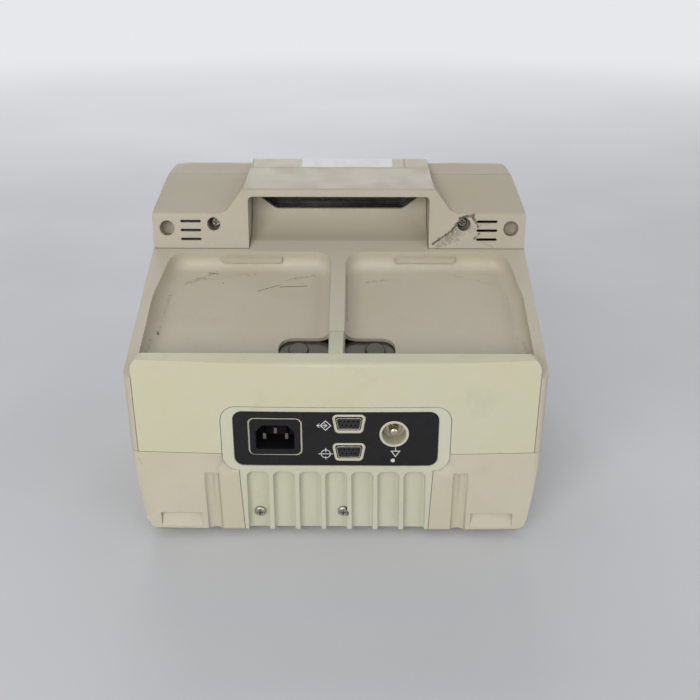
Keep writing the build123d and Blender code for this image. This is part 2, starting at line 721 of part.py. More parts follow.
def lower_housing():
    """Base tub with its tapering sides, screw posts and rear recesses."""
    block = (outer & between(0, seam_height - fit / 2)) - front_region(fit)
    shell = block - inner
    for side in (-1, 1):
        groove_x = side * (side_groove_inner + side_groove_outer) / 2
        groove_width = side_groove_outer - side_groove_inner
        backing = Pos(groove_x, side_groove_top / 2 + foot_height) * Rectangle(groove_width + 6, side_groove_top)
        grip_x = side * (grip_inner + grip_outer) / 2
        grip_width = grip_outer - grip_inner
        backing += Pos(grip_x, (grip_top + foot_height) / 2) * Rectangle(grip_width + 5, grip_top - foot_height + 5)
        shell += skin(backing, 0, 8) & block
        shell -= on_lower_rear(groove_x, side_groove_top, groove_cutter())
        shell -= Pos(grip_x, 0, 0) * grip_wedge(grip_width)
    for x, z in panel_screw_spots:
        boss = disc(8, -fin_panel_thickness - 10, -fin_panel_thickness - fit)
        web = Pos(0, -z / 2 + wall, -fin_panel_thickness - fit - 4.5) * Box(4, z - foot_height, 9)
        shell += on_lower_rear(x, z, boss + web) & block
        shell -= on_lower_rear(x, z, disc(screw_shank + 0.1, -fin_panel_thickness - 9, 0))
    shell -= skin(panel_outline(fit), -5, fin_panel_thickness + fit)
    for x, y in case_post_spots():
        shell += Pos(x, y, 0) * disc(case_post, foot_height + 1, seam_height - fit / 2) & block
        shell -= Pos(x, y, 0) * disc(case_post - 3, 0, case_head_height)
        shell -= Pos(x, y, 0) * disc(screw_shank + 0.1, 0, seam_height + 1)
    for x, y in rubber_foot_spots():
        shell += Pos(x, y, 0) * disc(9, foot_height + 1, foot_height + 9)
        shell -= Pos(x, y, 0) * disc(screw_shank + 0.1, 0, foot_height + 8)
    for x, y in chassis_post_spots():
        shell += Pos(x, y, 0) * disc(9, foot_height + 1, chassis_height)
        shell -= Pos(x, y, 0) * disc(screw_shank + 0.1, chassis_height - 6, chassis_height + 1)
    return shell


def rubber_foot_spots():
    """Plan places of the four rubber feet."""
    return [(side * rubber_foot_x, y_at(depth)) for depth in rubber_foot_depths for side in (-1, 1)]


def chassis_post_spots():
    """Plan places of the four posts that carry the chassis."""
    x = chassis_half_width - 8
    return [(side * x, y_at(depth)) for depth in (chassis_rear + 34, chassis_front - 12) for side in (-1, 1)]


def on_foot(x, z, shape):
    """Carry a shape from its own axes to the rear face of a handle foot, at a height."""
    climb = (z - joint_height) / foot_plane.y_dir.Z
    return foot_plane.location * Pos(x, climb, 0) * shape


def handle_housing():
    """Feet, shoulders and bar of the handle, hollow behind the feet."""
    above = Pos(0, 0, joint_height + fit / 2 + 100) * Box(400, 400, 200)
    block = (crown_solid & above) - front_region(fit) - gap_zone
    side_room = Pos(overall_width / 2 + gap_half_width + wall, 0, overall_height) * Box(
        overall_width, 2 * overall_depth, 2 * overall_height)
    shell = block
    for side in (Plane.YZ, None):
        room = side_room if side is None else mirror(side_room, side)
        shell -= inner & room
    for side in (-1, 1):
        tube = disc(cup_diameter + 3, -cup_depth - 1.5, -wall / 2)
        hole = disc(cup_diameter, -cup_depth, 5)
        shell += on_foot(side * cup_x, cup_z, tube) & shallow
        shell -= on_foot(side * cup_x, cup_z, hole)
        boss = disc(screw_hole_diameter + 3, -screw_hole_depth - 2, -wall / 2)
        shell += on_foot(side * screw_hole_x, screw_hole_z, boss) & shallow
        shell -= on_foot(side * screw_hole_x, screw_hole_z, disc(screw_hole_diameter, -screw_hole_depth, 5))
        shell -= on_foot(side * screw_hole_x, screw_hole_z, disc(screw_shank + 0.1, -screw_hole_depth - 5, 0))
        slot_x = side * (slot_inner + slot_outer) / 2
        slot = rounded_block(slot_outer - slot_inner, slot_width, slot_width * 0.49, -2 * wall, wall)
        for z in slot_heights:
            shell -= on_foot(slot_x, z, slot)
    return shell


# ---- front housing ------------------------------------------------------------------------
def row_key_spots():
    """Place on the front of every small key in the row."""
    return [(row_key_first_x + index * row_key_pitch, row_key_v) for index in range(len(row_key_names))]


def key_outline(width, height, grow=0.0):
    """Outline of a key cap, grown evenly."""
    return RectangleRounded(width + 2 * grow, height + 2 * grow, 2.5 + grow)


def window_outline(grow=0.0):
    """Outline of the display window, grown evenly."""
    return RectangleRounded(window_width + 2 * grow, window_height + 2 * grow, 4 + max(grow, -1))


def ring_opening(diameter):
    """Drill through the front wall."""
    return disc(diameter, -3 * wall, wall)


def front_openings():
    """Everything that is cut through the front wall."""
    cut = [on_front(window_x, window_v, Pos(0, 0, -9) * extrude(window_outline(-window_rebate), 15)),
           on_front(window_x, window_v, Pos(0, 0, -window_thickness - 0.1) * extrude(window_outline(fit), 9)),
           on_front(dial_x, dial_v, ring_opening(bushing_diameter + fit)),
           on_front(dial_x, dial_v, disc(scale_diameter + fit, -scale_thickness, wall))]
    for x, v in row_key_spots():
        hole = Pos(0, 0, -9) * extrude(key_outline(row_key_width, row_key_height, key_gap), 15)
        cut.append(on_front(x, v, hole))
    for v in (charge_key_v, shock_key_v):
        hole = Pos(0, 0, -9) * extrude(key_outline(main_key_width, main_key_height, key_gap), 15)
        cut.append(on_front(dial_x, v, hole))
    door_hole = rounded_block(door_width + 2 * door_gap, door_height + hinge_radius + 2 * door_gap, 1, -9, 6)
    cut.append(on_front(printer_x, printer_v - hinge_radius / 2, door_hole))
    therapy_hole = rounded_block(therapy_width + fit, therapy_height + fit, 5, -9, 6)
    cut.append(on_front(therapy_x, socket_v, therapy_hole))
    cut.append(on_front(ecg_x, socket_v, ring_opening(ecg_diameter + fit)))
    for index in (-1, 0, 1):
        cut.append(on_front(lamp_x, socket_v + index * lamp_pitch, ring_opening(lamp_diameter + 0.1)))
    return cut


def handle_screw_lug(side):
    """Lug of the front housing that takes a handle screw, with its strap from the top wall."""
    lug_front = -wall - lcd_thickness - lcd_clearance
    post = on_foot(side * screw_hole_x, screw_hole_z, disc(lug_width, -90, -screw_hole_depth - 2 - fit))
    strap_low = (screw_hole_z - face_plane.origin.Z) / cos(tilt) - lug_width / 2
    strap_high = (overall_height - face_plane.origin.Z + front_housing_depth * sin(tilt)) / cos(tilt)
    strap = Pos(0, (strap_low + strap_high) / 2, (lug_front - front_housing_depth) / 2) * Box(
        lug_width, strap_high - strap_low, front_housing_depth + lug_front)
    space_before = face_plane.location * Pos(0, 0, 100 + lug_front) * Box(400, 400, 200)
    return ((post - space_before) + on_front(side * screw_hole_x, 0, strap)) & shallow


def board_post_spots():
    """Places of the posts that carry the key board."""
    column_x = dial_x + board_column_half_width - board_post_inset - 2
    return [(row_key_first_x - board_margin + board_post_inset, row_key_v),
            (row_key_end_x + board_margin - board_post_inset + 1.2, row_key_v),
            (column_x, charge_key_v + 10), (column_x, shock_key_v)]


def front_housing():
    """Bezel of the sloping front with all its openings."""
    shell = (crown_solid & front_zone) - inner
    for side in (-1, 1):
        shell += handle_screw_lug(side)
        shell -= on_foot(side * screw_hole_x, screw_hole_z, disc(screw_shank + 0.1, -screw_hole_depth - 16, 0))
    for x, v in board_post_spots():
        shell += on_front(x, v, disc(7, key_board_h, -wall / 2))
        shell -= on_front(x, v, disc(2.6, key_board_h - 1, -wall))
    for opening in front_openings():
        shell -= opening
    return shell


def display_window():
    """Clear window of the display."""
    return on_front(window_x, window_v, Pos(0, 0, -window_thickness - 0.1) * extrude(window_outline(), window_thickness))


def lcd_module():
    """Display panel in its metal frame behind the window."""
    frame = rounded_block(lcd_width, lcd_height, 2, -wall - lcd_thickness, -wall)
    glass = rounded_block(window_width - 2 * window_rebate - 1, window_height - 2 * window_rebate - 1, 2,
                          -wall, -window_thickness - 0.1 - fit)
    connector = Pos(lcd_width / 2 - 36, 0, -wall - lcd_thickness - 2) * Box(12, 40, 4)
    return on_front(window_x, window_v, frame + glass + connector)


def dial_scale():
    """Ring plate of the energy scale round the dial."""
    return on_front(dial_x, dial_v, disc(scale_diameter, -scale_thickness, 0) - disc(bushing_diameter + 2 * fit, -2, 2))


def dial_switch():
    """Rotary switch behind the front wall with its bushing."""
    back = -wall - switch_depth
    body = rounded_block(switch_width, switch_width, 3, back, -wall) + disc(bushing_diameter, -wall, 0.8)
    for index in range(switch_tags):
        body += Rot(0, 0, index * 360 / switch_tags) * Pos(switch_tag_radius, 0, back - 2) * Box(1.0, 1.6, 5)
    return on_front(dial_x, dial_v, body - disc(shaft_diameter + 0.1, back + 2, 5))


def dial_shaft():
    """Flatted shaft of the rotary switch."""
    shaft = disc(shaft_diameter, -wall - switch_depth + 2.2, dial_height - shaft_end)
    flat = Pos(0, shaft_diameter, 8) * Box(shaft_diameter * 2, shaft_diameter * 1.6 - 1, 12)
    return on_front(dial_x, dial_v, shaft - flat)


def energy_dial():
    """Pointer knob with a fluted skirt; its bar points up at rest."""
    low = 1.4
    skirt = disc(dial_diameter, low, low + 4.5)
    for angle in range(0, 360, 20):
        skirt -= Rot(0, 0, angle + 10) * Pos(dial_diameter / 2 + 1.2, 0, 0) * disc(5, 0, 10)
    skirt = skirt + disc(dial_diameter - 8, low, low + 6.5)
    bar = Pos(0, 0, low + 4) * extrude(RectangleRounded(13, dial_diameter - 10, 6), dial_height - low - 4, taper=5)
    bar = fillet(bar.faces().sort_by(Axis.Z)[-1].edges(), 1.5)
    pointer = Pos(0, dial_diameter / 2 - 9, dial_height - 0.8) * Box(1.6, 8, 2)
    knob = skirt + bar - pointer
    bore = disc(shaft_diameter + 0.1, 0, dial_height - shaft_end + 0.1)
    flat = Pos(0, shaft_diameter + 0.05, 8) * Box(shaft_diameter * 2, shaft_diameter * 1.6 - 1, 12)
    return on_front(dial_x, dial_v, knob - (bore - flat))


def key_cap(width, height):
    """Key with a rounded cap, a flange behind the wall and a plunger."""
    cap = Pos(0, 0, -wall - fit) * extrude(key_outline(width, height), wall + fit + key_proud)
    cap = chamfer(cap.faces().sort_by(Axis.Z)[-1].edges(), 0.6)
    flange = Pos(0, 0, -wall - 0.2 - key_flange_thickness) * extrude(
        key_outline(width, height, key_flange), key_flange_thickness)
    return cap + flange


def key_board():
    """Board that carries a switch behind each key."""
    row = row_key_spots()
    left, right = row[0][0] - board_margin, row[-1][0] + board_margin + 1
    low, row_top = shock_key_v - main_key_height / 2 - 2, row_key_v + 5.5
    column_top = charge_key_v + 16
    board = Pos((left + right) / 2, (low + row_top) / 2) * Rectangle(right - left, row_top - low)
    board += Pos(dial_x, (low + column_top) / 2) * Rectangle(
        2 * board_column_half_width, column_top - low)
    board = fillet(board.vertices(), 1.5)
    solid = Pos(0, 0, key_board_h - board_thickness) * extrude(board, board_thickness)
    for x, v in board_post_spots():
        solid -= Pos(x, v, 0) * disc(2.7, key_board_h - 3, 0)
    switch = Pos(0, 0, key_board_h) * extrude(Rectangle(6, 6), switch_height - 1) + disc(
        3.2, key_board_h, key_board_h + switch_height)
    for x, v in row:
        solid += Pos(x, v, 0) * switch
    for v in (charge_key_v, shock_key_v):
        for x in (dial_x - 12, dial_x + 12):
            solid += Pos(x, v, 0) * switch
    return face_plane.location * solid


def indicator_lenses():
    """Three light pipes below the keys."""
    pipes = []
    for index in (-1, 0, 1):
        pipe = disc(lamp_diameter, -wall, 0.3) + disc(lamp_diameter + 1.5, -wall - 1.5, -wall)
        pipes.append(on_front(lamp_x, socket_v + index * lamp_pitch, pipe))
    return Compound(children=pipes)


def therapy_socket():
    """Recessed socket for the paddle or pad cable."""
    flange = rounded_block(therapy_width + 5, therapy_height + 5, 6, -wall - 2, -wall)
    sleeve = rounded_block(therapy_width, therapy_height, 5, -wall - socket_length, 0.6)
    bore = rounded_block(therapy_width - 4, therapy_height - 4, 3.5, -socket_length + 2, wall)
    keyway = Pos(0, therapy_height / 2 - 2, -socket_length / 2) * Box(6, 4, socket_length - 8)
    return on_front(therapy_x, socket_v, (flange + sleeve - bore) + keyway)


def therapy_contacts():
    """Two high-voltage sleeves and a row of sense pins in the therapy socket."""
    floor = -socket_length + 2
    pieces = []
    for x in (-11, 11):
        pieces.append(Pos(x, -1.5, 0) * (disc(8, floor, floor + 17) - disc(4.6, floor + 2, floor + 20)))
    for x in (-3, 0, 3):
        pieces.append(Pos(x, -4, 0) * disc(1.4, floor, floor + 12))
    return Compound(children=[on_front(therapy_x, socket_v, piece) for piece in pieces])


def ecg_socket():
    """Round patient-lead socket with a keyed rim."""
    body = disc(ecg_diameter + 4, -wall - 2, -wall) + disc(ecg_diameter, -wall - 20, 1.2)
    bore = disc(ecg_diameter - 5, -15, wall)
    bore -= Pos(0, ecg_diameter - 5, 0) * Box(ecg_diameter, ecg_diameter - 2, 40)
    return on_front(ecg_x, socket_v, body - bore)


def ecg_contacts():
    """Ring of signal pins in the patient-lead socket."""
    pins = []
    for angle in range(0, 360, 45):
        pins.append(on_front(ecg_x, socket_v, Rot(0, 0, angle + 22.5) * Pos(5.2, 0, 0) * disc(1.4, -15, -6)))
    pins.append(on_front(ecg_x, socket_v, disc(1.4, -15, -6)))
    return Compound(children=pins)


# ---- recorder -----------------------------------------------------------------------------
def printer_frame():
    """Paper bay behind the front wall, with the ears of the door hinge."""
    outer_width = door_width + 2 * door_gap + 2 * bay_wall + 4
    outer_height = door_height + hinge_radius + 2 * door_gap + 2 * bay_wall + 1
    centre = -hinge_radius / 2
    tub = Pos(0, centre, 0) * rounded_block(outer_width, outer_height, 3, -wall - bay_depth, -wall - fit / 2)
    inside = Pos(0, centre, 0) * rounded_block(
        outer_width - 2 * bay_wall, outer_height - 2 * bay_wall, 2, -wall - bay_depth + bay_wall, wall)
    tub -= inside
    ear_x = door_width / 2 + door_gap + 1.2
    for side in (-1, 1):
        ear = Pos(side * ear_x, -door_height / 2, -wall - fit - 4.5) * Box(1.6, 2 * hinge_radius, 9)
        post = Pos(side * (ear_x + 0.5), -door_height / 2, -wall - 8) * Box(3.5, 2 * hinge_radius + 2, 12)
        spindle = Pos(side * (roll_width / 2 + 3.4), -4, -26) * Rot(0, 90, 0) * disc(6, -6, 6)
        tub += ear + (post & Pos(0, centre, 0) * rounded_block(outer_width, outer_height, 3, -60, -wall - fit / 2))
        tub += spindle & Pos(0, centre, 0) * rounded_block(outer_width, outer_height, 3, -60, 0)
    pin = Pos(0, -door_height / 2, -hinge_radius) * Rot(0, 90, 0) * disc(hinge_pin_diameter + 0.1, -60, 60)
    platen = Pos(0, door_height / 2 - 7, -wall - 8) * Rot(0, 90, 0) * disc(4.1, -60, 60)
    return on_front(printer_x, printer_v, tub - pin - platen)


def printer_door():
    """Paper door, hinged along its lower edge."""
    plate = Pos(0, 0, -door_thickness / 2) * Box(door_width, door_height, door_thickness)
    plate += Pos(0, (hinge_radius - door_height) / 2, -hinge_radius / 2) * Box(
        door_width, hinge_radius, hinge_radius)
    knuckle = Pos(0, -door_height / 2, -hinge_radius) * Rot(0, 90, 0) * disc(
        2 * hinge_radius, -door_width / 2, door_width / 2)
    slot = Pos(0, door_height / 2 - 1.9, 0) * Box(roll_width + 2, 1.4, 20)
    pull = Pos(0, door_height / 2 - 8, 0) * extrude(RectangleRounded(20, 6, 2.5), -1.6)
    pin = Pos(0, -door_height / 2, -hinge_radius) * Rot(0, 90, 0) * disc(hinge_pin_diameter + 0.1, -60, 60)
    return on_front(printer_x, printer_v, plate + knuckle - slot - pull - pin)


def printer_hinge_pin():
    """Steel pin through the door and the two ears."""
    reach = door_width / 2 + door_gap + 2
    pin = Pos(0, -door_height / 2, -hinge_radius) * Rot(0, 90, 0) * disc(hinge_pin_diameter, -reach, reach)
    return on_front(printer_x, printer_v, pin)


def platen_roller():
    """Rubber paper roller with its steel ends and drive gear."""
    spot = Pos(0, door_height / 2 - 7, -wall - 8) * Rot(0, 90, 0)
    half = door_width / 2 + door_gap + 2
    body = disc(platen_diameter, -roll_width / 2 - 1, roll_width / 2 + 1) + disc(4, -half - 1.5, half + 1.5)
    return on_front(printer_x, printer_v, spot * body)


def print_head():
    """Thermal print head pressed up to the roller."""
    v = door_height / 2 - 7 + platen_diameter / 2 + fit + 1.1
    head = Pos(0, v, -wall - 11) * Box(roll_width + 6, 2.2, 12)
    back = -wall - bay_depth + bay_wall
    bracket = Pos(0, v, (back - wall - 16) / 2) * Box(18, 2.2, -wall - 16 - back)
    return on_front(printer_x, printer_v, head + bracket)


def paper_roll():
    """Roll of chart paper on its core."""
    roll = disc(roll_diameter, -roll_width / 2, roll_width / 2) - disc(roll_bore, -roll_width, roll_width)
    return on_front(printer_x, printer_v, Pos(0, -4, -26) * Rot(0, 90, 0) * roll)


# ---- fittings of the connector panel ------------------------------------------------------
def mains_inlet():
    """Appliance inlet with its flange, open cavity and solder tags."""
    flange = rounded_block(inlet_flange_width, inlet_flange_height, 3, -inlet_seat, -0.3)
    shell_width = inlet_cavity_width + 2 * inlet_wall
    shell_height = inlet_cavity_height + 2 * inlet_wall
    body = rounded_block(shell_width, shell_height, 2, -inlet_length, -0.3)
    cavity = Pos(0, 0, -inlet_length + 6) * extrude(
        inlet_outline(inlet_cavity_width, inlet_cavity_height, 4.5), inlet_length)
    tags = None
    for x, z in inlet_pin_spots():
        tag = Pos(x, z, -inlet_length - 3) * Box(4.8, 0.8, 6.5)
        tags = tag if tags is None else tags + tag
    return on_rear(inlet_x, inlet_z, flange + body - cavity + tags)


def inlet_pin_spots():
    """Places of the line, earth and neutral pins about the centre of the inlet."""
    return ((-pin_spacing / 2, -1.8), (0, earth_pin_rise - 1.8), (pin_spacing / 2, -1.8))


def mains_inlet_pins():
    """Three flat pins standing in the inlet."""
    floor = -inlet_length + 6
    pins = []
    for x, z in inlet_pin_spots():
        pin = Pos(x, z, floor) * extrude(RectangleRounded(2, 4, 0.5), 15)
        pins.append(on_rear(inlet_x, inlet_z, pin))
    return Compound(children=pins)


def port_shell_height():
    """How far the port shells stay below the rear face."""
    return -0.9


def data_port_shells():
    """Metal shells and flanges of the two data ports."""
    shells = []
    for port_z in port_heights:
        flange = Pos(0, 0, -wall - 1.2 - 2 * fit) * extrude(Rectangle(31, 12.5), 1.2)
        rim = Pos(0, 0, -wall - 1) * extrude(port_outline(port_width, port_height, 1.4), wall + 1 + port_shell_height())
        hollow = Pos(0, 0, -wall - 5) * extrude(port_outline(port_width - 1, port_height - 1, 1), 20)
        shells.append(on_rear(port_x, port_z, flange + rim - hollow))
    return Compound(children=shells)


def data_port_inserts():
    """Dark sockets of the two data ports, with their nine contact holes."""
    inserts = []
    for port_z in port_heights:
        block = Pos(0, 0, -wall - 1.2) * extrude(
            port_outline(port_width - 1.1, port_height - 1.1, 1), wall + 1.2 + port_shell_height() - 0.4)
        block += Pos(0, 0, -wall - 11) * extrude(Rectangle(18, 10.5), 9)
        for row, count in ((1.42, 5), (-1.42, 4)):
            for index in range(count):
                x = (index - (count - 1) / 2) * 2.77
                block -= Pos(x, row, 0) * disc(1.1, -4, 1)
        inserts.append(on_rear(port_x, port_z, block))
    return Compound(children=inserts)


def equipotential_cup():
    """Insulating cup round the equipotential pin."""
    cup = disc(stud_cup, -13, -0.9) + disc(stud_cup + 3, -wall - 3.2, -wall - 1.1)
    bore = disc(stud_cup - 3, -11.5, 5)
    hole = disc(stud_diameter - 2 + 0.1, -20, 0)
    return on_rear(stud_x, stud_z, cup - bore - hole)


def equipotential_pin():
    """Turned pin with a waist, screwed through the floor of its cup."""
    pin = disc(stud_diameter, -11.5, -2.2) + disc(stud_diameter + 4, -11.5, -10) + disc(stud_diameter - 2, -22, -11.5)
    pin -= disc(stud_diameter + 2, -8.2, -7) - disc(stud_diameter - 1, -9, -6)
    tip = pin.edges().filter_by(GeomType.CIRCLE).sort_by(Axis.Z)[-1]
    return on_rear(stud_x, stud_z, fillet(tip, 1.8))


def panel_screws():
    """Two screws in the floors of the cooling grooves."""
    screws = []
    for x, z in panel_screw_spots:
        screws.append(on_lower_rear(x, z, Pos(0, 0, -fin_depth) * screw(7, 2.2, screw_shank, 10)))
    return Compound(children=screws)


# ---- contacts, screws and feet ------------------------------------------------------------
def test_contact(side):
    """Steel test plate under a tray floor, with its round boss."""
    low = -tray_depth - wall
    plate = Pos(0, 0, low - contact_thickness) * extrude(contact_window(4), contact_thickness)
    boss = disc(contact_boss, low - 0.5, low + 1.6)
    boss = fillet(boss.edges().filter_by(GeomType.CIRCLE).sort_by(Axis.Z)[-1], 1.2)
    plate += Pos(contact_boss_x, deck_v(contact_boss_depth), 0) * boss
    placed = deck_plane.location * plate
    return placed if side > 0 else mirror(placed, Plane.YZ)


def handle_screws():
    """Two screws deep in the inner holes of the handle feet."""
    return Compound(children=[
        on_foot(side * screw_hole_x, screw_hole_z, Pos(0, 0, -screw_hole_depth) * screw(7, 2.4, screw_shank, 15))
        for side in (-1, 1)
    ])


def case_screws():
    """Four long screws from the base into the upper housing."""
    turned = Rot(180, 0, 0) * screw(7.5, 2.6, screw_shank, seam_height - case_head_height + 16)
    return Compound(children=[Pos(x, y, case_head_height) * turned for x, y in case_post_spots()])


def rubber_feet():
    """Four moulded feet with a recess for the screw head."""
    foot = disc(rubber_foot_diameter, 0, foot_height)
    foot = chamfer(foot.edges().filter_by(GeomType.CIRCLE).sort_by(Axis.Z)[0], 1.2)
    foot -= disc(9, -1, foot_height - 2.5) + disc(screw_shank + 0.1, 0, foot_height + 1)
    return Compound(children=[Pos(x, y, 0) * foot for x, y in rubber_foot_spots()])


def foot_screws():
    """Screws that hold the feet."""
    turned = Rot(180, 0, 0) * screw(7, 2.2, screw_shank, 9)
    return Compound(children=[Pos(x, y, foot_height - 2.5) * turned for x, y in rubber_foot_spots()])


def speaker():
    """Alarm speaker behind the slots of one foot."""
    slots_height = slot_heights[-1] - slot_heights[0]
    frame = rounded_block(slot_outer - slot_inner + 3, slots_height + 7.6, 3, -wall - 5, -wall - fit)
    magnet = disc(12, -wall - 10, -wall - 4)
    return on_foot(-(slot_inner + slot_outer) / 2, slot_heights[0] + slots_height / 2 - 0.8, frame + magnet)


# ---- inside -------------------------------------------------------------------------------
def chassis():
    """Folded sheet-metal tray that carries the power parts."""
    length = chassis_front - chassis_rear
    middle = y_at((chassis_front + chassis_rear) / 2)
    low = chassis_height
    plate = Pos(0, middle, low + chassis_thickness / 2) * Box(2 * chassis_half_width, length, chassis_thickness)
    plate -= Pos(0, y_at(chassis_rear), low) * Box(2 * fin_half_width_top, 16, 10)
    flange = Pos(0, 0, low + 6) * Box(chassis_thickness, length, 12)
    for side in (-1, 1):
        plate += Pos(side * (chassis_half_width - chassis_thickness / 2), middle, 0) * flange
    for x, y in chassis_post_spots():
        plate -= Pos(x, y, 0) * disc(screw_shank + 0.1, 0, 50)
    for x in range(-60, 61, 20):
        plate -= Pos(x, y_at(chassis_front - 14), low) * Box(10, 4, 10)
    return plate


def chassis_screws():
    """Four screws through the chassis into its posts."""
    top = chassis_height + chassis_thickness
    return Compound(children=[Pos(x, y, top) * screw(7, 2.2, screw_shank, 7) for x, y in chassis_post_spots()])


floor_level = chassis_height + chassis_thickness     # upper side of the chassis


def battery_pack():
    """Sealed rechargeable pack of cells in one wrap."""
    x, depth, width, length, height = battery_place
    pack = Pos(x, y_at(depth), floor_level) * extrude(RectangleRounded(width, length, 4), height)
    pack += Pos(x + width / 2 - 14, y_at(depth + length / 2 - 8), floor_level + height) * disc(7, -1, 2.5)
    return fillet(pack.faces().sort_by(Axis.Z)[0].edges(), 1)


def battery_bracket():
    """Strap bolted down over the battery pack."""
    x, depth, width, length, height = battery_place
    top = floor_level + height
    strap = Pos(x, y_at(depth), floor_level + height / 2 + 1) * Box(width + 2 * fit + 3, 16, height + 2)
    strap -= Pos(x, y_at(depth), (floor_level + top) / 2 - 5) * Box(width + 2 * fit, 20, height + 10 + 2 * fit)
    for side in (-1, 1):
        tab = Pos(x + side * (width / 2 + fit + 5.5), y_at(depth), floor_level + 0.75) * Box(8.5, 16, 1.5)
        strap += tab - Pos(x + side * (width / 2 + fit + 6), y_at(depth), floor_level) * disc(3.2, -5, 5)
    return strap


def power_board():
    """Mains converter board with its transformer, heat sink and filter parts."""
    x, depth = 50.0, 66.0
    low = floor_level + 6
    board = Pos(x, y_at(depth), low + board_thickness / 2) * Box(92, 84, board_thickness)
    for side_x in (-1, 1):
        for side_y in (-1, 1):
            board += Pos(x + side_x * 41, y_at(depth) + side_y * 37, 0) * disc(6, floor_level, low)
    top = low + board_thickness
    board += Pos(x + 20, y_at(depth + 14), top + 13) * Box(34, 30, 26)
    board += Pos(x - 26, y_at(depth + 12), 0) * disc(22, top, top + 30)
    board += Pos(x - 26, y_at(depth - 14), 0) * disc(14, top, top + 20)
    for index in range(6):
        board += Pos(x + 2 + index * 6, y_at(depth - 24), top + 11) * Box(2, 24, 22)
    board += Pos(x + 17, y_at(depth - 24), top + 1.5) * Box(34, 26, 3)
    return board


def storage_capacitor():
    """High-voltage storage capacitor lying across the case."""
    x, depth = capacitor_place
    axis_z = floor_level + capacitor_diameter / 2 + clamp_thickness
    can = Rot(0, 90, 0) * disc(capacitor_diameter, -capacitor_length / 2, capacitor_length / 2)
    can = chamfer(can.edges().filter_by(GeomType.CIRCLE), 1.5)
    for offset in (-9, 9):
        can += Pos(0, offset, 0) * Rot(0, 90, 0) * disc(5, -capacitor_length / 2 - 7, -capacitor_length / 2 + 1)
    return Pos(x, y_at(depth), axis_z) * can


def capacitor_clamps():
    """Two saddle bands that hold the capacitor on the chassis."""
    x, depth = capacitor_place
    axis_z = floor_level + capacitor_diameter / 2 + clamp_thickness
    bands = []
    for offset in (-capacitor_length / 4, capacitor_length / 4):
        ring = Rot(0, 90, 0) * disc(capacitor_diameter + 2 * clamp_thickness, -6, 6)
        base = Pos(0, 0, -capacitor_diameter / 2 - clamp_thickness / 2) * Box(12, capacitor_diameter + 22, clamp_thickness)
        band = ring + base - Rot(0, 90, 0) * disc(capacitor_diameter + fit, -7, 7)
        for side in (-1, 1):
            band -= Pos(0, side * (capacitor_diameter / 2 + 7), 0) * disc(3.4, -80, 80)
        bands.append(Pos(x + offset, y_at(depth), axis_z) * band)
    return Compound(children=bands)


def discharge_inductor():
    """Toroid choke that shapes the pulse, on a centre bolt."""
    x, depth = inductor_place
    ring = disc(57, 0, 19) - disc(19, -1, 20)
    ring = chamfer(ring.edges().filter_by(GeomType.CIRCLE), 4)
    pieces = Pos(x, y_at(depth), floor_level + 1) * ring
    base = disc(50, floor_level, floor_level + 3.5) - disc(4.2, floor_level - 1, floor_level + 5)
    return pieces + Pos(x, y_at(depth), 0) * base


def transfer_relay():
    """High-voltage transfer relay with its pedestal and terminals."""
    x, depth = relay_place
    body = Pos(x, y_at(depth), floor_level) * extrude(RectangleRounded(34, 30, 3), 27)
    for index in (-1, 0, 1):
        body += Pos(x + index * 10, y_at(depth), 0) * disc(5, floor_level + 26, floor_level + 33)
    base = Pos(x, y_at(depth), floor_level) * extrude(RectangleRounded(50, 26, 4), 2.5)
    for side in (-1, 1):
        base -= Pos(x + side * 21, y_at(depth), 0) * disc(3.4, 0, 80)
    return body + base


def main_board():
    """Processor and measuring board standing behind the display on four pillars."""
    v, h = window_v - 21, -wall - lcd_thickness - 12
    board = Pos(window_x, v, h) * Box(124, 58, board_thickness)
    for side_x in (-1, 1):
        for side_v in (-1, 1):
            pillar = disc(5, h, -wall - lcd_thickness - fit)
            board += Pos(window_x + side_x * 57, v + side_v * 25, 0) * pillar
    chips = ((-30, 10, 24, 24, 3), (4, 12, 18, 18, 2.5), (-28, -16, 30, 12, 2.5), (6, -14, 30, 16, 4))
    for x, up, width, height, thick in chips:
        board += Pos(window_x + x, v + up, h - board_thickness / 2 - thick / 2) * Box(width, height, thick)
    shield = Pos(window_x + 40, v, h - board_thickness / 2 - 5) * Box(26, 40, 10)
    return face_plane.location * (board + shield)


shallow = envelope(wall / 2)
ramp_zone = Pos(0, y_at(ramp_seam_depth) - overall_depth / 2, overall_height / 2) * Box(
    overall_width, overall_depth, 2 * overall_height)


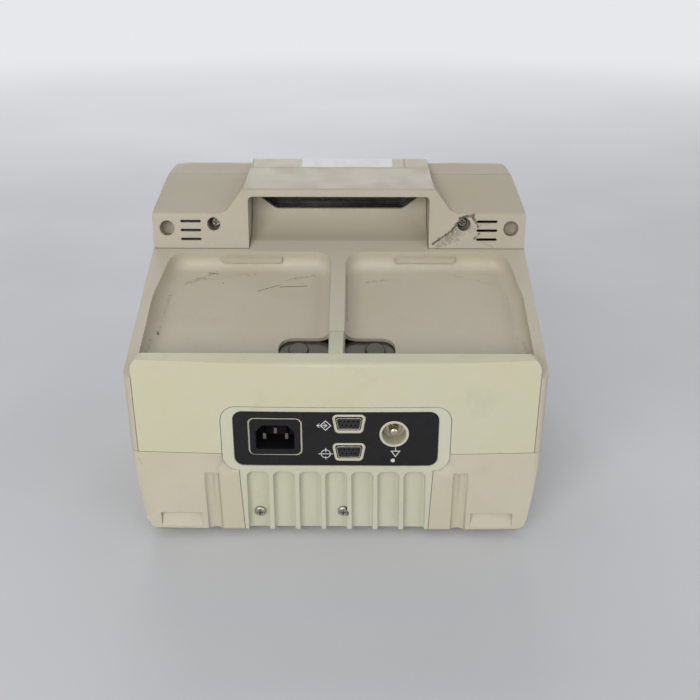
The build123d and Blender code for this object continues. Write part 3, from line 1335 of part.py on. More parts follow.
# ---- all the pieces -----------------------------------------------------------------------
def all_parts():
    """Every node of the defibrillator by name."""
    parts = {
        "lower_housing": lower_housing(),
        "upper_housing": upper_housing(),
        "rear_cover": rear_cover(),
        "handle_housing": handle_housing(),
        "grip_ramp": grip_ramp(),
        "handle_well": handle_well(),
        "front_housing": front_housing(),
        "connector_panel": connector_panel(),
        "connector_label": connector_label(),
        "mains_inlet": mains_inlet(),
        "mains_inlet_pins": mains_inlet_pins(),
        "data_port_shells": data_port_shells(),
        "data_port_inserts": data_port_inserts(),
        "equipotential_cup": equipotential_cup(),
        "equipotential_pin": equipotential_pin(),
        "panel_screws": panel_screws(),
        "test_contact_left": test_contact(-1),
        "test_contact_right": test_contact(1),
        "handle_screws": handle_screws(),
        "case_screws": case_screws(),
        "rubber_feet": rubber_feet(),
        "foot_screws": foot_screws(),
        "speaker": speaker(),
        "display_window": display_window(),
        "lcd_module": lcd_module(),
        "dial_scale": dial_scale(),
        "dial_switch": dial_switch(),
        "dial_shaft": dial_shaft(),
        "energy_dial": energy_dial(),
        "key_board": key_board(),
        "charge_key": on_front(dial_x, charge_key_v, key_cap(main_key_width, main_key_height)),
        "shock_key": on_front(dial_x, shock_key_v, key_cap(main_key_width, main_key_height)),
        "indicator_lenses": indicator_lenses(),
        "therapy_socket": therapy_socket(),
        "therapy_contacts": therapy_contacts(),
        "ecg_socket": ecg_socket(),
        "ecg_contacts": ecg_contacts(),
        "printer_frame": printer_frame(),
        "printer_door": printer_door(),
        "printer_hinge_pin": printer_hinge_pin(),
        "platen_roller": platen_roller(),
        "print_head": print_head(),
        "paper_roll": paper_roll(),
        "chassis": chassis(),
        "chassis_screws": chassis_screws(),
        "battery_pack": battery_pack(),
        "battery_bracket": battery_bracket(),
        "power_board": power_board(),
        "storage_capacitor": storage_capacitor(),
        "capacitor_clamps": capacitor_clamps(),
        "discharge_inductor": discharge_inductor(),
        "transfer_relay": transfer_relay(),
        "main_board": main_board(),
    }
    for name, (x, v) in zip(row_key_names, row_key_spots()):
        parts[name] = on_front(x, v, key_cap(row_key_width, row_key_height))
    return parts


if __name__ == "__main__":
    os.makedirs("parts", exist_ok=True)
    for name, solid in all_parts().items():
        export_step(solid, f"parts/{name}.step")
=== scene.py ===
import json
import math

import bmesh
import bpy
from mathutils import Matrix, Vector
from mathutils.bvhtree import BVHTree


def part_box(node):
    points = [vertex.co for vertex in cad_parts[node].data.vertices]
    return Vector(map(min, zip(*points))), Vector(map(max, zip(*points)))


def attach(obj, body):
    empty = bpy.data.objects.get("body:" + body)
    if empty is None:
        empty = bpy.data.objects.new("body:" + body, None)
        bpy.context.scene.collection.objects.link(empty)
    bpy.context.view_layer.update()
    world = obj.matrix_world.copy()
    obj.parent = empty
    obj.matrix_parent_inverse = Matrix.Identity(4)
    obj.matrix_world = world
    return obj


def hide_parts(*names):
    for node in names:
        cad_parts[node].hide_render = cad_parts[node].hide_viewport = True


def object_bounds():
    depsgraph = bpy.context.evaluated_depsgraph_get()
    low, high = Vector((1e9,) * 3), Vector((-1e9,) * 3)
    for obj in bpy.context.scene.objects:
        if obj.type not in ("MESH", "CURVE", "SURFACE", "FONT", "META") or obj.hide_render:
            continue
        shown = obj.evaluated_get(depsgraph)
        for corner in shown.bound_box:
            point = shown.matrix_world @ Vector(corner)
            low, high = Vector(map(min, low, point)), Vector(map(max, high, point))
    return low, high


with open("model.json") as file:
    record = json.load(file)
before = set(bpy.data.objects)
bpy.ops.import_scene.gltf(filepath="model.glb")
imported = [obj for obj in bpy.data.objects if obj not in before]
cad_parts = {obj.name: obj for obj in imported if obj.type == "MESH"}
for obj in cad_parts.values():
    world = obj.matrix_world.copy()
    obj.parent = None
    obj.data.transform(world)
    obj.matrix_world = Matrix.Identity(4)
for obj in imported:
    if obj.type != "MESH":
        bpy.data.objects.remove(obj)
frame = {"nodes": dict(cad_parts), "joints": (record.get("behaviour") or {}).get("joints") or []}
cad_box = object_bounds()
nodes = frame["nodes"]

MM = 0.001                                  # lengths in this file are in millimetres, times MM
BACKGROUND = (0.80, 0.81, 0.83, 1)          # pale grey behind the floor
LENS, SENSOR = 46.91, 36.0                  # the photograph's focal length for a 36 mm frame
CAMERA_PLACE = (-0.0127, 0.6268, 0.3659)    # metres, behind the unit and above it
CAMERA_LOOK = (0.0070, -0.9086, -0.4175)
LIGHT_AIM = (0, 0, 0.1)
INK, INK_LIFT = 0.04, 0.02                  # thickness of printed marks, and their height above the surface
FRONT_HEIGHT, DIAL_HEIGHT = 4, 20           # drawing planes above the front face and above the dial
FONT_TO_DIGIT = 1.42                        # font size over the height of its digits


# ---- camera and light ---------------------------------------------------------------------
def make_camera():
    data = bpy.data.cameras.new("camera")
    data.lens = LENS
    data.sensor_width = SENSOR
    data.clip_start, data.clip_end = 0.01, 20.0
    camera = bpy.data.objects.new("camera", data)
    forward = Vector(CAMERA_LOOK).normalized()
    side = forward.cross(Vector((0, 0, 1))).normalized()
    rise = side.cross(forward)
    turn = Matrix((side, rise, -forward)).transposed()
    camera.matrix_world = Matrix.Translation(Vector(CAMERA_PLACE)) @ turn.to_4x4()
    bpy.context.collection.objects.link(camera)
    bpy.context.scene.camera = camera


def area_light(name, place, size, power, colour):
    """Soft rectangular lamp aimed at the unit."""
    data = bpy.data.lights.new(name, "AREA")
    data.shape = "RECTANGLE"
    data.size, data.size_y = size
    data.energy = power
    data.color = colour
    lamp = bpy.data.objects.new(name, data)
    lamp.location = place
    lamp.rotation_mode = "QUATERNION"
    lamp.rotation_quaternion = (Vector(LIGHT_AIM) - Vector(place)).to_track_quat("-Z", "Y")
    bpy.context.collection.objects.link(lamp)


def make_lights():
    area_light("key_light", (0.75, 2.1, 1.0), (1.5, 1.2), 30.0, (1.0, 0.985, 0.96))
    area_light("fill_light", (-1.5, 1.5, 0.9), (1.4, 1.4), 9.0, (0.97, 0.98, 1.0))
    area_light("front_light", (0.2, -1.6, 1.2), (1.4, 1.0), 11.0, (1.0, 1.0, 1.0))


def seen_directly(tree):
    """One for rays from the camera, in a mirror or through glass, zero for light on the object."""
    path = tree.nodes.new("ShaderNodeLightPath")
    seen = path.outputs["Is Camera Ray"]
    for ray in ("Is Glossy Ray", "Is Transmission Ray"):
        either = tree.nodes.new("ShaderNodeMath")
        either.operation = "MAXIMUM"
        tree.links.new(seen, either.inputs[0])
        tree.links.new(path.outputs[ray], either.inputs[1])
        seen = either.outputs[0]
    return seen


def make_world():
    """Dim even light on the object, and the pale background for the rays that see it."""
    world = bpy.data.worlds.new("studio")
    bpy.context.scene.world = world
    world.use_nodes = True
    tree = world.node_tree
    tree.nodes.clear()
    out = tree.nodes.new("ShaderNodeOutputWorld")
    ambient = tree.nodes.new("ShaderNodeBackground")
    ambient.inputs["Color"].default_value = (0.93, 0.95, 1.0, 1)
    ambient.inputs["Strength"].default_value = 0.36
    white = tree.nodes.new("ShaderNodeBackground")
    white.inputs["Color"].default_value = BACKGROUND
    white.inputs["Strength"].default_value = 1.0
    mix = tree.nodes.new("ShaderNodeMixShader")
    tree.links.new(seen_directly(tree), mix.inputs[0])
    tree.links.new(ambient.outputs[0], mix.inputs[1])
    tree.links.new(white.outputs[0], mix.inputs[2])
    tree.links.new(mix.outputs[0], out.inputs[0])


# ---- node graph helpers -------------------------------------------------------------------
class Graph:
    """A short way to write a material's nodes."""

    def __init__(self, name):
        self.material = bpy.data.materials.new(name)
        self.material.use_nodes = True
        self.tree = self.material.node_tree
        self.tree.nodes.clear()
        self.out = self.tree.nodes.new("ShaderNodeOutputMaterial")
        self.shader = self.tree.nodes.new("ShaderNodeBsdfPrincipled")
        self.link(self.shader.outputs[0], self.out.inputs["Surface"])
        self.coords = self.tree.nodes.new("ShaderNodeTexCoord").outputs["Object"]
        self.grit = None

    def link(self, source, target):
        self.tree.links.new(source, target)

    def put(self, value, target):
        if isinstance(value, bpy.types.NodeSocket):
            self.link(value, target)
        elif isinstance(value, (tuple, list)) and len(value) == 3 and target.type == "RGBA":
            target.default_value = (*value, 1.0)
        else:
            target.default_value = value

    def stretched(self, scale):
        node = self.tree.nodes.new("ShaderNodeMapping")
        self.link(self.coords, node.inputs["Vector"])
        node.inputs["Scale"].default_value = scale
        return node.outputs[0]

    def noise(self, scale, detail=2.0, rough=0.5, vector=None, distort=0.0):
        node = self.tree.nodes.new("ShaderNodeTexNoise")
        self.link(vector or self.coords, node.inputs["Vector"])
        node.inputs["Scale"].default_value = scale
        node.inputs["Detail"].default_value = detail
        node.inputs["Roughness"].default_value = rough
        node.inputs["Distortion"].default_value = distort
        return node.outputs["Fac"]

    def cells(self, scale):
        node = self.tree.nodes.new("ShaderNodeTexVoronoi")
        self.link(self.coords, node.inputs["Vector"])
        node.inputs["Scale"].default_value = scale
        return node.outputs["Distance"]

    def ramp(self, value, low, high, start=0.0, end=1.0):
        node = self.tree.nodes.new("ShaderNodeMapRange")
        node.interpolation_type = "SMOOTHSTEP"
        self.put(value, node.inputs["Value"])
        for socket, number in (("From Min", low), ("From Max", high), ("To Min", start), ("To Max", end)):
            node.inputs[socket].default_value = number
        return node.outputs[0]

    def math(self, operation, first, second=0.0):
        node = self.tree.nodes.new("ShaderNodeMath")
        node.operation = operation
        self.put(first, node.inputs[0])
        self.put(second, node.inputs[1])
        return node.outputs[0]

    def mix(self, factor, first, second):
        node = self.tree.nodes.new("ShaderNodeMix")
        node.data_type = "RGBA"
        self.put(factor, node.inputs["Factor"])
        self.put(first, node.inputs["A"])
        self.put(second, node.inputs["B"])
        return node.outputs["Result"]

    def crevice(self, reach):
        node = self.tree.nodes.new("ShaderNodeAmbientOcclusion")
        node.samples = 6
        node.inputs["Distance"].default_value = reach
        return node.outputs["AO"]

    def stroke(self, start, end, width, density):
        """Mask of a smear along the line between two points: speckled at a low density, solid at a high one."""
        start, end = Vector(start) * MM, Vector(end) * MM
        line = end - start
        offset = self.vector("SUBTRACT", self.coords, tuple(start))
        along = self.math("DIVIDE", self.dot(offset, tuple(line.normalized())), line.length)
        near = self.vector("SCALE", tuple(line), scale=self.clamp(along))
        gap = self.length(self.vector("SUBTRACT", offset, near))
        close = self.ramp(gap, 0.0, 0.9 * width * MM, density, 0.0)
        return self.ramp(self.math("ADD", close, self.speckle()), 0.72, 0.90)

    def speckle(self):
        """One fine noise shared by all the smears of a material."""
        if not self.grit:
            self.grit = self.noise(520, 6.0, 0.85, distort=0.6)
        return self.grit

    def vector(self, operation, first, second=None, scale=None):
        node = self.tree.nodes.new("ShaderNodeVectorMath")
        node.operation = operation
        self.put(first, node.inputs[0])
        if second is not None:
            self.put(second, node.inputs[1])
        if scale is not None:
            self.put(scale, node.inputs["Scale"])
        return node.outputs[0]

    def dot(self, first, second):
        node = self.tree.nodes.new("ShaderNodeVectorMath")
        node.operation = "DOT_PRODUCT"
        self.put(first, node.inputs[0])
        self.put(second, node.inputs[1])
        return node.outputs["Value"]

    def length(self, vector):
        node = self.tree.nodes.new("ShaderNodeVectorMath")
        node.operation = "LENGTH"
        self.put(vector, node.inputs[0])
        return node.outputs["Value"]

    def clamp(self, value):
        node = self.tree.nodes.new("ShaderNodeClamp")
        self.put(value, node.inputs["Value"])
        return node.outputs[0]

    def bump(self, height, distance, strength=1.0, normal=None):
        node = self.tree.nodes.new("ShaderNodeBump")
        self.put(height, node.inputs["Height"])
        node.inputs["Distance"].default_value = distance
        node.inputs["Strength"].default_value = strength
        if normal:
            self.link(normal, node.inputs["Normal"])
        return node.outputs[0]

    def soften(self, radius):
        node = self.tree.nodes.new("ShaderNodeBevel")
        node.samples = 4
        node.inputs["Radius"].default_value = radius
        return node.outputs[0]

    def finish(self, colour, roughness, normal=None, **fixed):
        self.put(colour, self.shader.inputs["Base Color"])
        self.put(roughness, self.shader.inputs["Roughness"])
        if normal is not None:
            self.link(normal, self.shader.inputs["Normal"])
        for name, value in fixed.items():
            self.shader.inputs[name.replace("_", " ")].default_value = value
        return self.material


# ---- materials ----------------------------------------------------------------------------
def aged_plastic(name, clean, yellowed, marks, grime_and_shade):
    """Textured moulding with yellowing, fine specks, painted shade in its corners and its own marks."""
    g = Graph(name)
    colour = g.mix(g.ramp(g.noise(9, 2.0, 0.6), 0.35, 0.7), clean, yellowed)
    cloud = g.noise(45, 4.0, 0.65)
    colour = g.mix(g.ramp(cloud, 0.52, 0.75, 0.0, 0.10), colour, (0.30, 0.27, 0.20))
    patches = g.ramp(g.noise(30, 2.0), 0.42, 0.6)
    specks = g.math("MULTIPLY", g.ramp(g.cells(520), 0.05, 0.14, 1.0, 0.0), patches)
    colour = g.mix(g.math("MULTIPLY", specks, 0.42 * grime_and_shade), colour, (0.12, 0.10, 0.07))
    # painted shade: darker in corners and crevices, from ambient occlusion, mottled by noise
    hollow = g.ramp(g.crevice(0.009), 0.25, 0.9, 1.0, 0.0)
    crevice_shade = g.math("MULTIPLY", hollow, g.ramp(g.noise(160, 4.0, 0.7), 0.3, 0.7, 0.35, 1.0))
    colour = g.mix(g.math("MULTIPLY", crevice_shade, 0.55 * grime_and_shade), colour, (0.20, 0.16, 0.10))
    for start, end, width, tone, share, density in marks:
        mask = g.math("MULTIPLY", g.stroke(start, end, width, density), share)
        colour = g.mix(mask, colour, tone)
    rough = g.ramp(g.noise(70, 3.0), 0.3, 0.7, 0.42, 0.56)
    grain = g.noise(1700, 2.0, 0.6)
    normal = g.bump(grain, 0.00006, 0.8, g.soften(0.0006))
    return g.finish(colour, rough, normal)


def dark_plastic(name, colour, roughness, grain_depth=0.00004, dusty=0.35, specular=0.5):
    g = Graph(name)
    dust = g.ramp(g.noise(240, 5.0, 0.75), 0.55, 0.8, 0.0, dusty)
    tint = g.mix(dust, colour, tuple(0.12 + 0.5 * c for c in colour))
    rough = g.ramp(g.noise(90, 3.0), 0.3, 0.7, roughness - 0.07, roughness + 0.09)
    normal = g.bump(g.noise(1900, 2.0, 0.6), grain_depth, 0.7, g.soften(0.0003))
    return g.finish(tint, rough, normal, Specular_IOR_Level=specular)


def metal(name, colour, roughness, brushed=None, stain=0.25):
    g = Graph(name)
    lines = g.noise(1.0, 3.0, 0.7, g.stretched(brushed or (900, 900, 900)))
    tarnish = g.ramp(g.noise(130, 4.0, 0.7), 0.45, 0.75, 0.0, stain)
    tint = g.mix(tarnish, colour, tuple(0.45 * c for c in colour))
    tint = g.mix(g.ramp(lines, 0.3, 0.7, 0.0, 0.18), tint, tuple(min(1.0, 1.15 * c) for c in colour))
    # painted shade: darker in crevices, from ambient occlusion
    tint = g.mix(g.ramp(g.crevice(0.0016), 0.35, 0.95, 0.85, 0.0), tint, tuple(0.12 * c for c in colour))
    rough = g.ramp(lines, 0.25, 0.75, roughness - 0.08, roughness + 0.12)
    normal = g.bump(lines, 0.00003, 0.8, g.soften(0.0002))
    return g.finish(tint, rough, normal, Metallic=1.0)


def clear_panel(name):
    g = Graph(name)
    smear = g.ramp(g.noise(38, 4.0, 0.7, distort=1.2), 0.4, 0.75)
    tint = g.mix(g.math("MULTIPLY", smear, 0.2), (0.012, 0.016, 0.017), (0.05, 0.055, 0.055))
    rough = g.ramp(smear, 0.0, 1.0, 0.06, 0.22)
    return g.finish(tint, rough, g.bump(g.noise(60, 2.0), 0.00002, 0.5), Coat_Weight=0.5)


def rubber(name, colour):
    g = Graph(name)
    worn = g.ramp(g.noise(120, 5.0, 0.7), 0.45, 0.75, 0.0, 0.4)
    tint = g.mix(worn, colour, tuple(0.06 + 1.3 * c for c in colour))
    rough = g.ramp(g.noise(300, 3.0), 0.3, 0.7, 0.62, 0.85)
    return g.finish(tint, rough, g.bump(g.noise(1400, 3.0, 0.7), 0.00008, 0.8))


def circuit_board(name):
    g = Graph(name)
    tracks = g.ramp(g.cells(310), 0.2, 0.3, 1.0, 0.0)
    tint = g.mix(g.math("MULTIPLY", tracks, 0.5), (0.02, 0.11, 0.05), (0.05, 0.22, 0.10))
    rough = g.ramp(g.noise(500, 2.0), 0.3, 0.7, 0.3, 0.5)
    return g.finish(tint, rough, g.bump(tracks, 0.00006, 0.6))


def wound_wire(name):
    g = Graph(name)
    turns = g.noise(1.0, 1.0, 0.4, g.stretched((25, 25, 1600)))
    tint = g.mix(g.ramp(turns, 0.35, 0.65), (0.22, 0.07, 0.02), (0.62, 0.28, 0.11))
    return g.finish(tint, g.ramp(turns, 0.3, 0.7, 0.25, 0.4), g.bump(turns, 0.0002, 0.8), Metallic=0.8)


def paper(name):
    g = Graph(name)
    fibre = g.noise(1300, 4.0, 0.8)
    rings = g.noise(1.0, 2.0, 0.6, g.stretched((40, 2600, 2600)))
    tint = g.mix(g.ramp(rings, 0.3, 0.7, 0.0, 0.35), (0.80, 0.74, 0.70), (0.62, 0.52, 0.48))
    return g.finish(tint, g.ramp(fibre, 0.3, 0.7, 0.7, 0.9), g.bump(fibre, 0.00004, 0.7))


def moulded_key(name, colour):
    g = Graph(name)
    touch = g.ramp(g.noise(150, 4.0, 0.65), 0.45, 0.75, 0.0, 0.3)
    tint = g.mix(touch, colour, tuple(0.5 * c for c in colour))
    rough = g.ramp(g.noise(210, 3.0), 0.3, 0.7, 0.42, 0.6)
    return g.finish(tint, rough, g.bump(g.noise(2000, 2.0), 0.00003, 0.7, g.soften(0.0004)))


def lamp_lens(name):
    g = Graph(name)
    swirl = g.ramp(g.noise(260, 3.0), 0.3, 0.7, 0.0, 0.4)
    tint = g.mix(swirl, (0.10, 0.30, 0.10), (0.22, 0.46, 0.18))
    rough = g.ramp(swirl, 0.0, 0.4, 0.12, 0.25)
    return g.finish(tint, rough, g.bump(swirl, 0.00003, 0.5), Transmission_Weight=0.3)


def paint(material, *names):
    for name in names:
        slots = nodes[name].material_slots
        for index in range(len(slots)):
            slots[index].material = material


# Marks of use: start, end and width in mm, colour, share of the colour, density of the speckle.
DARK, SMEAR, RUST = (0.030, 0.028, 0.024), (0.16, 0.145, 0.11), (0.24, 0.17, 0.09)
DECK_MARKS = (
    ((107.0, 28.0, 141.6), (94.0, 22.0, 143.9), 5.5, DARK, 0.75, 0.30),
    ((97.5, 23.6, 143.3), (86.3, 16.5, 146.0), 4.0, DARK, 0.7, 0.28),
    ((92.0, 17.4, 145.7), (85.0, 18.6, 145.2), 1.1, DARK, 0.7, 0.5),
    ((55.7, 35.3, 138.9), (40.8, 29.4, 141.2), 0.7, DARK, 0.8, 0.5),
    ((40.7, 31.3, 140.4), (21.9, 30.3, 140.8), 0.75, DARK, 0.85, 0.55),
    ((36.0, 24.4, 143.0), (17.0, 20.3, 144.6), 5.5, SMEAR, 0.6, 0.30),
    ((118.6, 74.3, 124.7), (118.2, 76.5, 124.0), 1.8, DARK, 0.85, 0.5),
    ((81.0, 27.5, 141.8), (80.4, 27.7, 141.8), 0.9, DARK, 0.8, 0.6),
    ((-20.1, 26.5, 142.2), (-37.7, 23.5, 143.4), 4.5, SMEAR, 0.55, 0.28),
    ((-82.0, 20.0, 144.7), (-109.0, 28.8, 141.4), 5.0, SMEAR, 0.5, 0.26),
    ((104.0, 26.0, 142.6), (60.0, 18.0, 145.6), 9.0, SMEAR, 0.5, 0.24),
    ((116.0, 40.0, 137.5), (118.5, 82.0, 122.5), 4.0, SMEAR, 0.6, 0.27),
    ((-116.0, 40.0, 137.5), (-118.5, 82.0, 122.5), 4.0, SMEAR, 0.5, 0.25),
    ((-60.0, 12.6, 157.0), (-84.0, 12.8, 155.0), 1.8, DARK, 0.5, 0.3),
    ((5.6, 33.0, 148.0), (5.0, 88.0, 127.0), 2.4, RUST, 0.6, 0.42),
    ((-6.0, 25.3, 147.2), (-6.4, 67.1, 130.7), 2.6, RUST, 0.6, 0.44),
    ((121.4, 84.0, 122.4), (123.4, 97.0, 119.0), 4.5, DARK, 0.55, 0.30),
    ((-121.4, 84.0, 122.4), (-123.4, 97.0, 119.0), 4.5, DARK, 0.5, 0.28),
    ((112.0, 60.0, 130.0), (60.0, 66.0, 128.0), 22.0, SMEAR, 0.35, 0.20),
    ((-40.0, 62.0, 129.0), (-104.0, 70.0, 126.0), 22.0, SMEAR, 0.28, 0.19),
)
HANDLE_MARKS = (
    ((-70.0, 9.6, 165.0), (-84.0, 8.4, 173.0), 11.0, SMEAR, 0.7, 0.33),
    ((-84.0, 8.2, 175.5), (-97.0, 7.6, 176.0), 9.0, SMEAR, 0.65, 0.30),
    ((-79.0, 8.6, 172.0), (-84.5, 7.6, 179.0), 6.5, DARK, 0.55, 0.30),
    ((-66.5, 9.4, 165.0), (-80.5, 7.9, 174.9), 2.4, DARK, 0.9, 0.42),
    ((-71.6, 9.7, 163.5), (-84.0, 9.0, 168.0), 5.5, SMEAR, 0.8, 0.30),
    ((-76.0, 8.3, 171.0), (-84.0, 8.0, 178.0), 5.0, DARK, 0.7, 0.27),
    ((-79.7, 7.9, 174.7), (-86.6, 6.5, 183.2), 3.0, DARK, 0.9, 0.40),
    ((-85.4, 6.5, 183.0), (-95.0, 6.2, 184.6), 3.4, DARK, 0.9, 0.38),
    ((-94.0, 6.4, 183.4), (-98.0, 7.2, 177.0), 3.0, DARK, 0.9, 0.38),
    ((-96.0, 7.4, 177.5), (-106.0, 7.4, 179.5), 3.4, DARK, 0.8, 0.29),
    ((-95.4, 8.8, 168.6), (-99.0, 8.4, 172.5), 2.6, DARK, 0.85, 0.36),
    ((-96.0, 8.9, 168.0), (-107.9, 9.7, 163.0), 3.6, SMEAR, 0.75, 0.28),
    ((-92.0, 9.3, 166.0), (-80.0, 9.6, 163.8), 3.0, SMEAR, 0.6, 0.26),
    ((92.0, 9.4, 164.6), (66.0, 9.6, 163.4), 3.0, RUST, 0.4, 0.24),
)
CROWN_MARKS = (
    ((63.4, -32.0, 209.6), (63.4, -48.0, 212.3), 2.0, RUST, 0.75, 0.5),
    ((-47.4, -32.0, 209.6), (-47.4, -48.0, 212.3), 2.2, RUST, 0.75, 0.5),
    ((63.0, -46.5, 212.3), (31.0, -47.5, 212.4), 3.6, RUST, 0.6, 0.38),
    ((60.0, -34.0, 210.0), (32.0, -33.0, 210.0), 3.0, RUST, 0.4, 0.26),
    ((-40.0, -47.0, 212.3), (-47.0, -46.0, 212.3), 3.0, RUST, 0.6, 0.30),
)
COVER_MARKS = (
    ((-88.0, 128.0, 128.0), (-60.0, 128.4, 128.6), 1.4, SMEAR, 0.4, 0.28),
    ((116.0, 119.0, 129.4), (122.5, 125.0, 127.2), 2.6, RUST, 0.6, 0.30),
    ((-116.0, 117.0, 130.0), (-123.1, 124.0, 128.2), 2.6, RUST, 0.6, 0.30),
)
LOWER_MARKS = (
    ((108.0, 129.0, 58.0), (100.0, 129.4, 57.0), 1.0, SMEAR, 0.5, 0.3),
    ((90.0, 127.6, 30.0), (84.0, 127.6, 22.0), 1.0, SMEAR, 0.45, 0.3),
    ((126.0, 127.0, 60.0), (124.0, 127.4, 54.0), 1.4, DARK, 0.5, 0.3),
)


def paint_housings():
    # each row: name, nodes, clean and yellowed colours, marks, and the strength of the specks and of the painted
    # crevice shade
    rows = (
        ("deck", ["upper_housing"], (0.535, 0.490, 0.392), (0.515, 0.462, 0.340), DECK_MARKS, 0.8),
        ("base", ["lower_housing"], (0.555, 0.520, 0.410), (0.545, 0.500, 0.370), LOWER_MARKS, 0.6),
        # handle and grip ramp: the deck's plastic darkened, painted shade for the less lit handle and the ramp
        # under the bar
        ("handle", ["handle_housing", "grip_ramp"],
         (0.445, 0.405, 0.315), (0.430, 0.385, 0.285), HANDLE_MARKS, 0.8),
        ("cover", ["rear_cover"], (0.575, 0.562, 0.425), (0.575, 0.550, 0.375), COVER_MARKS, 0.5),
        # front: the deck's plastic darkened, painted shade for the less lit crown
        ("front", ["front_housing", "printer_door"],
         (0.460, 0.420, 0.330), (0.445, 0.400, 0.298), CROWN_MARKS, 0.5),
        ("panel", ["connector_panel"], (0.575, 0.575, 0.455), (0.560, 0.550, 0.410), (), 0.6),
        ("cup", ["equipotential_cup"], (0.60, 0.58, 0.47), (0.56, 0.53, 0.40), (), 0.6),
    )
    for name, names, clean, yellowed, marks, grime_and_shade in rows:
        paint(aged_plastic(name + "_plastic", clean, yellowed, marks, grime_and_shade), *names)


def paint_plastics():
    paint(dark_plastic("label_film", (0.008, 0.0075, 0.0085), 0.5, 0.00002, 0.15, 0.3), "connector_label")
    paint(dark_plastic("well_plastic", (0.010, 0.010, 0.011), 0.22, 0.00001), "handle_well")
    paint(dark_plastic("inlet_plastic", (0.005, 0.005, 0.006), 0.5, 0.00002, 0.12, 0.3),
          "mains_inlet", "dial_switch", "printer_frame", "therapy_socket", "battery_bracket", "speaker")
    paint(dark_plastic("insert_plastic", (0.006, 0.006, 0.007), 0.55), "data_port_inserts")
    paint(dark_plastic("dial_plastic", (0.03, 0.03, 0.032), 0.38), "energy_dial")
    paint(dark_plastic("scale_film", (0.10, 0.11, 0.12), 0.4), "dial_scale")
    paint(dark_plastic("socket_plastic", (0.20, 0.22, 0.23), 0.42), "ecg_socket")
    paint(dark_plastic("battery_shell", (0.03, 0.04, 0.09), 0.4), "battery_pack")
    paint(dark_plastic("relay_shell", (0.50, 0.50, 0.42), 0.4), "transfer_relay")
    paint(moulded_key("grey_key_rubber", (0.16, 0.17, 0.18)),
          "lead_key", "size_key", "alarm_key", "menu_key", "event_key", "print_key", "sync_key")
    paint(moulded_key("yellow_key_rubber", (0.62, 0.42, 0.05)), "charge_key")
    paint(moulded_key("red_key_rubber", (0.45, 0.04, 0.03)), "shock_key")


def paint_metals():
    paint(metal("screw_steel", (0.46, 0.44, 0.39), 0.34),
          "panel_screws", "case_screws", "foot_screws", "dial_shaft", "printer_hinge_pin", "chassis_screws")
    paint(metal("dull_screw_steel", (0.20, 0.185, 0.16), 0.3), "handle_screws")
    # mains pins: painted shade, the colour darkened for the shade inside the inlet's cavity
    paint(metal("inlet_steel", (0.19, 0.17, 0.125), 0.4), "mains_inlet_pins")
    # contact plates: painted reflection, the base colour darkened to stand for the dark surroundings they reflect
    paint(metal("contact_steel", (0.135, 0.120, 0.105), 0.2, (60, 1800, 60)),
          "test_contact_left", "test_contact_right")
    paint(metal("sheet_steel", (0.50, 0.51, 0.52), 0.4, (1500, 40, 40)),
          "chassis", "capacitor_clamps", "lcd_module")
    paint(metal("port_metal", (0.62, 0.58, 0.47), 0.3), "data_port_shells")
    paint(metal("plated_metal", (0.60, 0.55, 0.42), 0.2, (1200, 1200, 60)),
          "equipotential_pin", "therapy_contacts", "ecg_contacts")
    paint(metal("can_aluminium", (0.60, 0.61, 0.63), 0.35, (30, 1400, 1400)), "storage_capacitor")
    paint(wound_wire("inductor_wire"), "discharge_inductor")


def paint_the_rest():
    paint(clear_panel("window_panel"), "display_window")
    paint(rubber("foot_rubber", (0.035, 0.035, 0.035)), "rubber_feet", "platen_roller")
    paint(circuit_board("board_laminate"), "key_board", "power_board", "main_board", "print_head")
    paint(paper("chart_paper"), "paper_roll")
    paint(lamp_lens("lamp_plastic"), "indicator_lenses")


# ---- thin pieces laid on the housing ------------------------------------------------------
class Face:
    """A flat drawing plane in front of some CAD nodes, and the way down onto them."""

    REACH = 12                              # how far above its plane a ray starts

    def __init__(self, origin, across, up, *names):
        self.origin = Vector(origin) * MM
        self.across, self.up = Vector(across).normalized(), Vector(up).normalized()
        self.out = self.across.cross(self.up)
        mesh = bmesh.new()
        for name in names:
            mesh.from_mesh(nodes[name].data)
        self.tree = BVHTree.FromBMesh(mesh)
        mesh.free()

    def place(self, point, lift):
        start = self.origin + self.across * point.x + self.up * point.y + self.out * self.REACH * MM
        hit = self.tree.ray_cast(start, -self.out)[0]
        return hit + self.out * (lift * MM + point.z)

    def lay(self, name, flat, thickness, material, body, slot, lift=0.03):
        """Thickens a flat drawing, lays it on the surface and names its body."""
        grown = bmesh.ops.extrude_face_region(flat, geom=flat.faces[:], use_keep_orig=True)
        for vertex in (item for item in grown["geom"] if isinstance(item, bmesh.types.BMVert)):
            vertex.co.z += thickness * MM
        for vertex in flat.verts:
            vertex.co = self.place(vertex.co, lift)
        bmesh.ops.recalc_face_normals(flat, faces=flat.faces)
        mesh = bpy.data.meshes.new(name)
        flat.to_mesh(mesh)
        flat.free()
        piece = bpy.data.objects.new(name, mesh)
        bpy.context.collection.objects.link(piece)
        mesh.materials.append(material)
        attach(piece, body)
        return piece


def sheet(width, height, steps_x, steps_y, corner=0.0):
    """Flat rectangle in small squares about the origin, its corner points drawn in."""
    flat = bmesh.new()
    rows = []
    for j in range(steps_y + 1):
        row = []
        for i in range(steps_x + 1):
            x, y = (i / steps_x - 0.5) * width, (j / steps_y - 0.5) * height
            if i in (0, steps_x) and j in (0, steps_y):
                x, y = x - math.copysign(corner, x), y - math.copysign(corner, y)
            row.append(flat.verts.new((x * MM, y * MM, 0)))
        rows.append(row)
    for j in range(steps_y):
        for i in range(steps_x):
            flat.faces.new((rows[j][i], rows[j][i + 1], rows[j + 1][i + 1], rows[j + 1][i]))
    return flat


